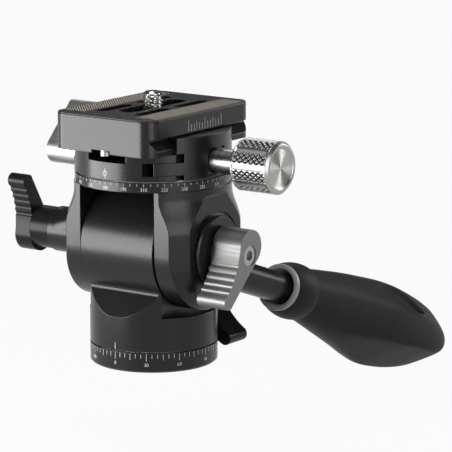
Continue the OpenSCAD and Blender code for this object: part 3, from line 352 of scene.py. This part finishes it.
# Solids that aren't named here are black anodised
finishOf = {
    "tripod_insert": innerSteel, "pan_spindle": innerSteel, "spindle_screws": screwSteel, "pan_retainer": innerSteel,
    "pan_washer": slipPlastic, "pan_drag_disc": slipPlastic, "clamp_washer": slipPlastic,
    "thrust_left": slipPlastic, "thrust_right": slipPlastic,
    "pan_lock_pad": brassFinish, "bush_left": brassFinish, "bush_right": brassFinish,
    "pan_stud": innerSteel, "tilt_stud": innerSteel, "drag_stud": innerSteel, "lock_stud": brightSteel,
    "tilt_shaft": innerSteel, "drag_drum": innerSteel, "clamp_spindle": innerSteel, "clamp_keeper": innerSteel,
    "drag_lever": dullAnodised, "pan_lever": dullAnodised, "handle_rod": dullAnodised,
    "tilt_lever": leverSteel, "lock_lever": brightSteel, "clamp_screw": screwSteel,
    "pan_lever_screw": screwSteel, "tilt_lever_screw": screwSteel, "drag_lever_screw": screwSteel,
    "lock_lever_screw": screwSteel, "guide_pins": innerSteel, "jaw_springs": innerSteel,
    "stop_screws": screwSteel, "screw_washer": innerSteel,
}
for name, solid in nodes.items():
    solid.data.materials.clear()
    solid.data.materials.append(finishOf.get(name, blackAnodised))
print("finishes on", len(nodes), "solids")


# Knurled clamp knob

clampKnob = {
    "start": 34.5, "length": 14.4, "radius": 8.2, "height": 66.25, "chamfer": 0.9,
    "ring": 0.9, "sunk": 0.5, "bareRim": 0.9, "edge": 0.05, "edgeIn": 0.04, "edgeOut": 0.06, "shoulder": 0.08,
    "strips": 9, "stripTurn": 15.6, "stripShare": 0.38, "stripDepth": 0.22, "stripFade": 1.15,
    "knurlLong": 2.05, "knurlRound": 1.7, "knurlDepth": 0.55, "knurlTop": 0.5,
    "steps": 480, "rows": 124, "faceRings": 14, "faceSlack": 0.01, "sharp": 60,
}


def makeKnob(k):
    # turned profile, then lowered by two crossing families of grooves on the panels and by the bare strips
    r, end, edge, edgeIn, edgeOut = k["radius"], k["length"], k["edge"], k["edgeIn"], k["edgeOut"]
    zoneLow, zoneHigh = k["chamfer"], end - k["chamfer"]
    zone = np.linspace(zoneLow, zoneHigh, k["rows"])
    lip = r - k["chamfer"]
    inner = lip - k["ring"]
    face, faceRadius = end - k["sunk"], inner - k["sunk"]
    profile = np.concatenate([
        np.array([[0, 0], [lip / 2, 0], [lip - edge, 0], [lip + edge, edge], [r - edgeOut, zoneLow - k["shoulder"]]]),
        np.stack([np.full_like(zone, r), zone], -1),
        np.array([[r - edgeOut, zoneHigh + k["shoulder"]], [lip + edgeOut, end - edge], [lip - edgeIn, end],
                  [inner + edgeIn, end], [inner - edgeIn, end - edge], [faceRadius, face]]),
        np.stack([np.linspace(faceRadius - edgeOut, 0, k["faceRings"]), np.full(k["faceRings"], face)], -1)])
    angle = roundAngles(k["steps"])
    radius, along = profile[None, :, 0], profile[None, :, 1]
    onZone = (radius > r - tiny) * smoothStep(zoneLow, zoneLow + k["bareRim"], along)
    onZone = onZone * smoothStep(zoneHigh, zoneHigh - k["bareRim"], along)
    phase = (np.degrees(angle) - k["stripTurn"]) * k["strips"] / 360
    across = np.abs(phase - np.round(phase)) * 2 / k["stripShare"]  # 0 in a strip's middle, 1 at its edge
    strip = np.clip(1 - across ** 2, 0, 1)
    a = angle * r / k["knurlRound"] + along / k["knurlLong"]
    b = angle * r / k["knurlRound"] - along / k["knurlLong"]
    groove = np.maximum(np.abs(2 * (a % 1) - 1), np.abs(2 * (b % 1) - 1))
    knurl = np.clip((groove - k["knurlTop"]) / (1 - k["knurlTop"]), 0, 1)
    knurl = knurl * smoothStep(1.0, k["stripFade"], across) * onZone
    radius = radius - k["knurlDepth"] * knurl - onZone * k["stripDepth"] * strip
    points = np.stack([k["start"] + along + 0 * angle, radius * np.cos(angle),
                       k["height"] + radius * np.sin(angle)], -1)
    # the knurl depth also goes to the finish, which paints shade in the grooves by it
    knob = gridPiece("knurledKnob", points, turnedSteel, "knob", "clamp_knob", k["sharp"], depth=knurl)
    knob.data.materials.append(facedSteel)
    for polygon in knob.data.polygons:
        centre = polygon.center / mm
        far = np.hypot(centre.y, centre.z - k["height"])
        polygon.material_index = int(centre.x > k["start"] + face - k["faceSlack"] and far < faceRadius)


makeKnob(clampKnob)
print("knob knurled")


# Threaded camera screw

cameraScrew = {
    "radius": 3.175, "pitch": 1.27, "depth": 0.72, "threadLow": 77.0, "runIn": 0.2, "runOut": 0.6,
    "valleyGain": 1.3, "valleyDrop": 0.15, "shankInset": 0.2, "core": 1.0, "pointChamfer": 0.9, "pointInset": 1.4,
    "headHeight": 3.0, "headGap": 0.02, "footChamfer": 0.3, "topChamfer": 0.2,
    "socketDepth": 1.2, "socketFloor": 2.2, "socketMouth": 2.25, "socketRim": 2.4, "socketEdge": 0.05,
    "steps": 96, "rows": 150, "sharp": 35,
}


def makeCameraScrew(k):
    # head and shank are turned; on the thread the radius falls and rises with height minus turn over one pitch
    lowCorner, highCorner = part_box("camera_screw")
    low, high = lowCorner.z / mm, highCorner.z / mm
    wide = (highCorner.x - lowCorner.x) / mm / 2
    headTop = low + k["headHeight"]
    threadStart = k["threadLow"] - k["runIn"]
    r = k["radius"]
    body = np.linspace(headTop + k["headGap"], high, k["rows"])
    point = k["pointChamfer"] * (1 - np.clip((high - body) / k["pointChamfer"], 0, 1))
    profile = np.concatenate([
        np.array([[0, low + k["socketDepth"]], [k["socketFloor"], low + k["socketDepth"]],
                  [k["socketMouth"], low + k["socketEdge"]], [k["socketRim"], low],
                  [wide - k["footChamfer"], low], [wide, low + k["footChamfer"]],
                  [wide, headTop - k["topChamfer"]], [wide - k["topChamfer"], headTop], [r, headTop]]),
        np.stack([r - point, body], -1),
        np.array([[r - k["pointInset"], high], [0, high]])])
    angle = roundAngles(k["steps"])
    radius, height = profile[None, :, 0], profile[None, :, 1]
    phase = (height / k["pitch"] - angle / (2 * np.pi)) % 1
    valley = np.clip(np.abs(2 * phase - 1) * k["valleyGain"] - k["valleyDrop"], 0, 1)
    onThread = smoothStep(threadStart, k["threadLow"] + k["runOut"], height) * (radius > k["core"])
    radius = np.minimum(radius, r + (radius - r) * (1 - onThread) - k["depth"] * valley * onThread)
    shank = np.where(height > headTop, r - k["shankInset"], wide)
    radius = np.where(height < threadStart, np.minimum(radius, shank), radius)
    points = np.stack([radius * np.cos(angle), radius * np.sin(angle), height + 0 * angle], -1)
    gridPiece("threadedScrew", points, threadSteel, "mount_screw", "camera_screw", k["sharp"])


makeCameraScrew(cameraScrew)
print("camera screw threaded")


# Rubber grip, collar and lip on the handle

gripShape = {
    "start": 57.4, "length": 92.3, "turn": 45.0, "lean": 18.0, "edges": (7.0, 60.0), "edgeFade": (0.1, 0.6),
    "bore": 5.02, "boreDepth": 46.02, "recessAt": 54.5, "recessLong": 15.5, "recessWide": 3.9, "recessLean": 0.15,
    "recessFade": (1.25, 0.95), "recessDepth": 1.0, "dishSlope": 1.2, "rimHeight": 0.6, "rimWide": 0.5,
    "steps": 300, "rows": 230, "sharp": 60,
}
# rows: share of the length, height of the round, of the thumb's flat, half width, distance of the side flats, depth
gripRows = np.array([
    [0.0, 8.3, 9.0, 8.3, 9.2, 8.3],
    [0.12, 9.3, 9.8, 9.6, 10.3, 10.3],
    [0.25, 10.4, 10.4, 10.8, 11.1, 12.7],
    [0.4, 11.0, 10.7, 12.0, 11.5, 15.5],
    [0.53, 11.3, 10.7, 12.8, 11.6, 18.2],
    [0.62, 10.9, 10.1, 13.0, 11.6, 19.7],
    [0.74, 9.6, 8.9, 12.7, 11.2, 19.6],
    [0.85, 8.0, 7.4, 11.7, 10.6, 18.0],
    [0.93, 6.3, 5.9, 10.0, 9.5, 15.2],
    [0.98, 4.1, 3.9, 6.9, 6.8, 10.2],
    [1.0, 0.02, 0.02, 0.02, 0.02, 0.02],
])


def makeGrip(k):
    # each section is a round cut by a thumb's flat and two side flats: radius = (sum of pushes ^ edges) ^ (-1 / edges)
    left = np.linspace(1, 0, k["rows"])  # square root of the share of length that is left, so that the end is domed
    knots = np.sqrt(1 - gripRows[::-1, 0])
    crest, thumb, wide, flank, deep = (cubicThrough(left, knots, column)[None, :] for column in gripRows[::-1, 1:].T)
    along = k["length"] * (1 - left[None, :] ** 2)
    angle = roundAngles(k["steps"])
    side, up = np.sin(angle), np.cos(angle)
    lean = math.radians(k["lean"])
    pushes = [np.hypot(side / wide, np.where(up > 0, up / crest, up / deep)), np.maximum(up, 0) / thumb,
              np.maximum(np.abs(side) * math.cos(lean) - up * math.sin(lean), 0) / flank]
    softest, sharpest = k["edges"]
    edges = softest + (sharpest - softest) * smoothStep(*k["edgeFade"], left[None, :])
    radius = sum(push ** edges for push in pushes) ** (-1 / edges)
    # pointed oval on the thumb's flat: a raised rim where the distance to its edge is 0, a dish inside
    run = (along - k["recessAt"]) / k["recessLong"]
    aside = radius * side - k["recessLean"] * (along - k["recessAt"])
    rim = np.abs(aside) - k["recessWide"] * (1 - run ** 2)
    near = (up > 0) * smoothStep(*k["recessFade"], np.abs(run))
    dish = k["recessDepth"] * smoothStep(0.0, -k["dishSlope"], rim)
    radius = radius + near * (k["rimHeight"] * np.exp(-(rim / k["rimWide"]) ** 2) - dish)
    turn = angle + math.radians(k["turn"])
    places = np.stack([radius * np.sin(turn), -radius * np.cos(turn), k["start"] + along + 0 * angle], -1)
    mouth = np.array([[0, k["boreDepth"]], [k["bore"], k["boreDepth"]], [k["bore"], 0]])
    bore = np.stack([mouth[None, :, 0] * np.sin(turn), -mouth[None, :, 0] * np.cos(turn),
                     k["start"] + mouth[None, :, 1] + 0 * angle], -1)
    tip = np.broadcast_to(np.array([0, 0, k["start"] + k["length"]]), (k["steps"], 1, 3))
    points = onHandle(np.concatenate([bore, places, tip], 1))
    gridPiece("rubberGrip", points, gripRubber, "tilt_head", "handle_grip", k["sharp"])


makeGrip(gripShape)

collarShape = {
    "start": 46.8, "length": 10.58, "inside": 7.72, "outside": 9.35, "bulge": 17.5, "crest": 0.68,
    "frontEase": 0.18, "frontShare": 0.03, "backEase": 0.5, "backShare": 0.035, "steps": 128, "rows": 48, "sharp": 50,
}


def makeCollar(k):
    # half section: outer line on one arc with its crest near the grip, both ends eased, closed along the bore
    t = np.linspace(0, 1, k["rows"])
    run = k["length"] * (t - k["crest"])
    arc = k["outside"] - k["bulge"] + np.sqrt(k["bulge"] ** 2 - run ** 2)
    ease = k["frontEase"] * np.exp(-t / k["frontShare"]) + k["backEase"] * np.exp(-(1 - t) / k["backShare"])
    outer = np.stack([arc - ease, k["start"] + k["length"] * t], -1)
    inner = np.array([[k["inside"], k["start"] + k["length"]], [k["inside"], k["start"]]])
    points = onHandle(turned(np.concatenate([outer, inner]), k["steps"]))
    gridPiece("gripCollar", points, collarRubber, "tilt_head", "grip_collar", k["sharp"], wrapV=True)


makeCollar(collarShape)

lipShape = {
    "start": 45.4, "end": 52.0, "inside": 5.03, "throat": 6.0, "outside": 7.7,
    "archRise": 0.5, "archPower": 0.6, "funnelLong": 2.4, "funnelPower": 1.3, "steps": 128, "rows": 16, "sharp": 50,
}


def makeLip(k):
    # sleeve round the rod: a low arched front from outside to throat, then a funnel that narrows to the rod
    t = np.linspace(0, 1, k["rows"])
    half = (k["outside"] - k["throat"]) / 2
    foot = k["start"] + k["archRise"]
    arch = np.stack([k["throat"] + half + half * np.cos(np.pi * t),
                     foot - k["archRise"] * np.sin(np.pi * t) ** k["archPower"]], -1)
    t = t[1:]
    funnel = np.stack([k["throat"] - (k["throat"] - k["inside"]) * t,
                       foot + k["funnelLong"] * t ** k["funnelPower"]], -1)
    back = np.array([[k["inside"], k["end"]], [k["outside"], k["end"]]])
    points = onHandle(turned(np.concatenate([arch, funnel, back]), k["steps"]))
    gridPiece("gripLip", points, lipPlastic, "tilt_head", "grip_lip", k["sharp"], wrapV=True)


makeLip(lipShape)
print("grip moulded")


# Ribbed pads on the plate

padShape = {
    "pitch": 1.12, "slant": 1.1, "grooveDepth": 0.4, "perRib": 12, "columns": 49, "corner": 0.35,
    "edgeShare": 0.3, "edgeGroove": 0.6, "sharp": 45,
}
# the groove span gives the depths below the pad top over which painted shade fades in
padLook = {
    "roughness": 0.75, "gloss": 0.2, "grooveShadeSpan": (0.0003, 0.00008), "pebbleScale": 1600, "detail": 3,
    "bump": 0.00001,
}


def padFinish(name, low, high, groove):  # cork-coloured rubber with painted shade that darkens it down in its grooves
    k = padLook
    finish, tree, shader, place = newFinish(name, low, k["roughness"])
    shader.inputs["Specular IOR Level"].default_value = k["gloss"]
    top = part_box("pad_left")[1].z
    # painted shade: the colour goes to the dark groove tone over the lowest part of the grooves
    clearOfShade = addRamp(tree, oneAxis(tree, place, "Z"), 0, 1, [top - drop for drop in k["grooveShadeSpan"]])
    pebble = addNoise(tree, place, k["pebbleScale"], k["detail"])
    worn = addTint(tree, pebble, low, high)
    tree.links.new(addTint(tree, clearOfShade, groove, worn), shader.inputs["Base Color"])
    addBump(tree, shader, pebble, k["bump"])
    return finish


# the groove colour is painted shade at the bottom of the ribs
padRubber = padFinish("padRubber", (0.46, 0.42, 0.36), (0.6, 0.55, 0.48), groove=(0.02, 0.018, 0.015))


def makePad(name, node, k):
    # a flat bar with rounded long edges; the grooves run aslant, as deep as a squared cosine of y + slant * x
    low, high = (np.array(corner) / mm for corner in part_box(node))
    top = np.linspace(low[0] + k["corner"], high[0] - k["corner"], k["columns"])
    edge = np.array([0, k["edgeShare"] * k["corner"]])
    x = np.concatenate([low[0] + edge, top, high[0] - edge[::-1], [high[0], low[0]]])[None, :]
    flat = np.ones(k["columns"])
    grooved = np.concatenate([[0, k["edgeGroove"]], flat, [k["edgeGroove"], 0, 0, 0]])[None, :]
    drop = k["corner"] * np.concatenate([[1, k["edgeShare"]], 0 * flat, [k["edgeShare"], 1]])
    z = np.concatenate([high[2] - drop, [low[2], low[2]]])[None, :]
    rows = int((high[1] - low[1]) / k["pitch"] * k["perRib"])
    along = np.linspace(low[1], high[1], rows)[:, None]
    groove = k["grooveDepth"] * np.cos(np.pi * (along + k["slant"] * x) / k["pitch"]) ** 2
    points = np.stack([x + 0 * along, along + 0 * x, z - grooved * groove], -1)
    middle = np.array([(low[0] + high[0]) / 2, 0, (low[2] + high[2]) / 2])
    ends = [np.broadcast_to(middle + np.array([0, y, 0]), (1, x.shape[1], 3)) for y in (low[1], high[1])]
    points = np.concatenate([ends[0], points, ends[1]])
    gridPiece(name, points, padRubber, "plate", node, k["sharp"], wrapU=False, wrapV=True)


makePad("padLeft", "pad_left", padShape)
makePad("padRight", "pad_right", padShape)
print("pads ribbed")


# White scales and index marks

ink = {"proud": 0.02, "sink": 0.05, "curveSteps": 3, "sharp": 20}


def boxes(low, high):  # one closed block for each row of low and high corners
    pick = np.array([[0, 0, 0], [1, 0, 0], [1, 1, 0], [0, 1, 0], [0, 0, 1], [1, 0, 1], [1, 1, 1], [0, 1, 1]])
    corners = low[:, None, :] + pick[None] * (high - low)[:, None, :]
    sides = np.array([[0, 3, 2, 1], [4, 5, 6, 7], [0, 1, 5, 4], [1, 2, 6, 5], [2, 3, 7, 6], [3, 0, 4, 7]])
    faces = sides[None] + len(pick) * np.arange(len(low))[:, None, None]
    return corners.reshape(-1, 3), faces.reshape(-1, 4).tolist()


def letters(words, size):  # raised text lying in x and y, as points and faces
    curve = bpy.data.curves.new("words", "FONT")
    curve.body = words
    curve.size = size
    curve.extrude = ink["proud"]
    curve.resolution_u = ink["curveSteps"]
    curve.align_x = "CENTER"
    curve.align_y = "CENTER"
    holder = bpy.data.objects.new("words", curve)
    bpy.context.scene.collection.objects.link(holder)
    bpy.context.view_layer.update()
    flat = bpy.data.meshes.new_from_object(holder.evaluated_get(bpy.context.evaluated_depsgraph_get()))
    places = np.zeros(len(flat.vertices) * 3)
    flat.vertices.foreach_get("co", places)
    faces = [list(face.vertices) for face in flat.polygons]
    bpy.data.objects.remove(holder)
    bpy.data.curves.remove(curve)
    bpy.data.meshes.remove(flat)
    return places.reshape(-1, 3), faces


def joinParts(parts):  # one list of points and faces from several
    points, faces, first = [], [], 0
    for places, sides in parts:
        points.append(places)
        faces += [[first + corner for corner in side] for side in sides]
        first += len(places)
    return np.concatenate(points), faces


def rolled(strip, radius, turn):  # a flat strip, x along the edge, y up, z out, goes round the Z axis
    angle, out = strip[:, 0] / radius + turn, radius + strip[:, 2]
    return np.stack([out * np.sin(angle), -out * np.cos(angle), strip[:, 1]], -1)


def inkPiece(name, points, faces, body):
    mesh = bpy.data.meshes.new(name)
    mesh.from_pydata((points * mm).tolist(), [], faces)
    settle(name, mesh, whiteInk, body, None, ink["sharp"])


ringScale = {
    "radius": 24.6, "top": 60.6, "every": 5, "longEvery": 15, "middleEvery": 5, "short": 0.75, "middle": 0.75,
    "long": 0.95, "line": 0.14, "numberEvery": 15, "size": 1.5, "narrow": 0.95, "numberHeight": 58.75, "turn": 180,
}
baseScale = {
    "radius": 20.2, "top": 6.0, "every": 5, "longEvery": 30, "middleEvery": 15, "short": 1.4, "middle": 1.9,
    "long": 2.2, "line": 0.14, "numberEvery": 30, "size": 1.55, "narrow": 0.95, "numberHeight": 2.5, "turn": 0,
}


def roundScale(name, body, k):  # ticks and numbers, drawn flat and rolled onto the cylinder
    degrees = np.arange(0, 360, k["every"])
    isLong = degrees % k["longEvery"] == 0
    isMiddle = (degrees % k["middleEvery"] == 0) & ~isLong
    tall = np.where(isLong, k["long"], np.where(isMiddle, k["middle"], k["short"]))
    at = np.radians(degrees) * k["radius"]
    low = np.stack([at - k["line"] / 2, k["top"] - tall, 0 * at - ink["sink"]], -1)
    high = np.stack([at + k["line"] / 2, k["top"] + 0 * at, 0 * at + ink["proud"]], -1)
    parts = [boxes(low, high)]
    for mark in range(0, 360, k["numberEvery"]):
        places, faces = letters(str(mark), k["size"])
        places[:, 0] = places[:, 0] * k["narrow"] + math.radians(mark) * k["radius"]
        places[:, 1] = places[:, 1] + k["numberHeight"]
        parts.append((places, faces))
    strip, faces = joinParts(parts)
    inkPiece(name, rolled(strip, k["radius"], math.radians(k["turn"])), faces, body)


roundScale("ringScale", "tilt_head", ringScale)
roundScale("baseScale", "base", baseScale)

plateRuler = {
    "first": -7.0, "pitch": 1.42, "count": 13, "foot": 75.6, "tall": 3.5, "middle": 2.8, "short": 2.2,
    "tallEvery": 6, "middleEvery": 3, "line": 0.15,
}


def makeRuler(k):  # ticks of three heights on the plate's side
    step = np.arange(k["count"])
    y = k["first"] + k["pitch"] * step
    lower = np.where(step % k["middleEvery"] == 0, k["middle"], k["short"])
    tall = np.where(step % k["tallEvery"] == 0, k["tall"], lower)
    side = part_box("camera_plate")[1].x / mm
    low = np.stack([0 * y + side - ink["sink"], y - k["line"] / 2, 0 * y + k["foot"]], -1)
    high = np.stack([0 * y + side + ink["proud"], y + k["line"] / 2, k["foot"] + tall], -1)
    points, faces = boxes(low, high)
    inkPiece("plateRuler", points, faces, "plate")


makeRuler(plateRuler)

clampIndex = {
    "radius": 24.7, "low": 61.6, "high": 64.9, "line": 0.16, "ringHeight": 63.3, "ringRadius": 0.75,
    "ringLine": 0.16, "ringProud": 0.028, "ringSteps": 32,
}
housingIndex = {"radius": 20.2, "low": 6.9, "high": 8.9, "line": 0.18}


def ringMark(k):  # a small ring with a square section, drawn flat
    angle = roundAngles(k["ringSteps"])
    half, low, high = k["ringLine"] / 2, -ink["sink"], k["ringProud"]
    section = np.array([[-half, low], [half, low], [half, high], [-half, high]])[None]
    reach = k["ringRadius"] + section[..., 0]
    ring = np.stack([reach * np.cos(angle), k["ringHeight"] + reach * np.sin(angle),
                     section[..., 1] + 0 * angle], -1)
    quads = gridQuads(*ring.shape[:2], True, True)
    return ring.reshape(-1, 3), quads.reshape(-1, 4).tolist()


def indexMark(name, body, k):  # upright line at the front, with a ring where its size is given
    half = k["line"] / 2
    low, high = np.array([[-half, k["low"], -ink["sink"]]]), np.array([[half, k["high"], ink["proud"]]])
    parts = [boxes(low, high)]
    if "ringRadius" in k:
        parts.append(ringMark(k))
    strip, faces = joinParts(parts)
    inkPiece(name, rolled(strip, k["radius"], 0.0), faces, body)


indexMark("clampIndex", "clamp", clampIndex)
indexMark("housingIndex", "pan_head", housingIndex)
print("scales inked")


# Floor, light and camera, in metres, watts and degrees

studio = {
    "floorGap": 0.0015, "floorSize": 20.0, "floorTone": 0.2, "whiteShare": 0.95, "roughness": 0.8,
    "cloudScale": 3, "cloudDetail": 2, "cloudStep": 0.01, "skyStrength": 0.05,
}


def makeFloor(k):  # a plain square under the lowest point; camera, glossy and transmission rays see it nearly white
    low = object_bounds()[0][2] - k["floorGap"]
    half = k["floorSize"] / 2
    corners = [(-half, -half, low), (half, -half, low), (half, half, low), (-half, half, low)]
    mesh = bpy.data.meshes.new("floor")
    mesh.from_pydata(corners, [], [(0, 1, 2, 3)])
    floor = bpy.data.objects.new("floor", mesh)
    bpy.context.scene.collection.objects.link(floor)
    dark, pale = (k["floorTone"],) * 3, (k["floorTone"] + k["cloudStep"],) * 3
    finish, tree, shader, place = newFinish("paleFloor", dark, k["roughness"])
    cloud = addNoise(tree, place, k["cloudScale"], k["cloudDetail"])
    tree.links.new(addTint(tree, cloud, dark, pale), shader.inputs["Base Color"])
    glow = tree.nodes.new("ShaderNodeEmission")
    rays = tree.nodes.new("ShaderNodeLightPath")
    seen = rays.outputs["Is Camera Ray"]
    for kind in ("Is Glossy Ray", "Is Transmission Ray"):
        seen = addMath(tree, "ADD", seen, rays.outputs[kind])
    mix = tree.nodes.new("ShaderNodeMixShader")
    tree.links.new(addMath(tree, "MULTIPLY", seen, k["whiteShare"]), mix.inputs[0])
    tree.links.new(shader.outputs[0], mix.inputs[1])
    tree.links.new(glow.outputs[0], mix.inputs[2])
    tree.links.new(mix.outputs[0], tree.nodes["Material Output"].inputs["Surface"])
    mesh.materials.append(finish)
    floor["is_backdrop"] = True


makeFloor(studio)

lamps = {
    "frontLeftBox": {"place": (-0.10, -0.14, 0.044), "target": (0, 0, 0.044), "size": (0.17, 0.085), "power": 0.55},
    "rightBox": {"place": (0.32, -0.12, 0.12), "target": (0.01, 0.04, 0.04), "size": (0.22, 0.22), "power": 0.62},
    "rimBox": {"place": (0.31, 0.58, 0.24), "target": (0.04, 0, 0.05), "size": (0.24, 0.3), "power": 1.8},
    "backBox": {"place": (-0.30, 0.45, 0.5), "target": (0, 0, 0.04), "size": (0.3, 0.3), "power": 0.9},
    "topBox": {"place": (-0.04, -0.09, 0.7), "target": (0, 0, 0.04), "size": (0.26, 0.26), "power": 2.2},
}


def aimAlong(direction):  # turn that points a lamp or camera along the direction, upright
    flat = math.hypot(direction[0], direction[1])
    return (math.atan2(flat, -direction[2]), 0, math.atan2(-direction[0], direction[1]))


def softLight(name, k):  # rectangular lamp facing the target
    lamp = bpy.data.lights.new(name, "AREA")
    lamp.shape = "RECTANGLE"
    lamp.size, lamp.size_y = k["size"]
    lamp.energy = k["power"]
    holder = bpy.data.objects.new(name, lamp)
    holder.location = k["place"]
    holder.rotation_euler = aimAlong(np.array(k["target"]) - np.array(k["place"]))
    holder.visible_camera = False
    bpy.context.scene.collection.objects.link(holder)


for name, lamp in lamps.items():
    softLight(name, lamp)

world = bpy.data.worlds.new("studio")
bpy.context.scene.world = world
world.use_nodes = True
sky = world.node_tree.nodes["Background"]
sky.inputs["Color"].default_value = (1, 1, 1, 1)
sky.inputs["Strength"].default_value = studio["skyStrength"]

view = {
    "azimuth": 35.41, "elevation": 11.40, "distance": 0.910, "side": 0.02287, "height": 0.0427,
    "lens": 230.0, "sensor": 36,
}


def makeCamera(k):
    a, e = math.radians(k["azimuth"]), math.radians(k["elevation"])
    back = np.array([math.sin(a) * math.cos(e), -math.cos(a) * math.cos(e), math.sin(e)])
    target = k["side"] * np.array([math.cos(a), math.sin(a), 0]) + np.array([0, 0, k["height"]])
    lens = bpy.data.cameras.new("photoCamera")
    lens.sensor_width = k["sensor"]
    lens.lens = k["lens"]
    camera = bpy.data.objects.new("photoCamera", lens)
    camera.location = target + k["distance"] * back
    camera.rotation_euler = aimAlong(-back)
    bpy.context.scene.collection.objects.link(camera)
    bpy.context.scene.camera = camera


makeCamera(view)
bpy.context.scene.view_settings.view_transform = "Standard"
print("stage and camera set")
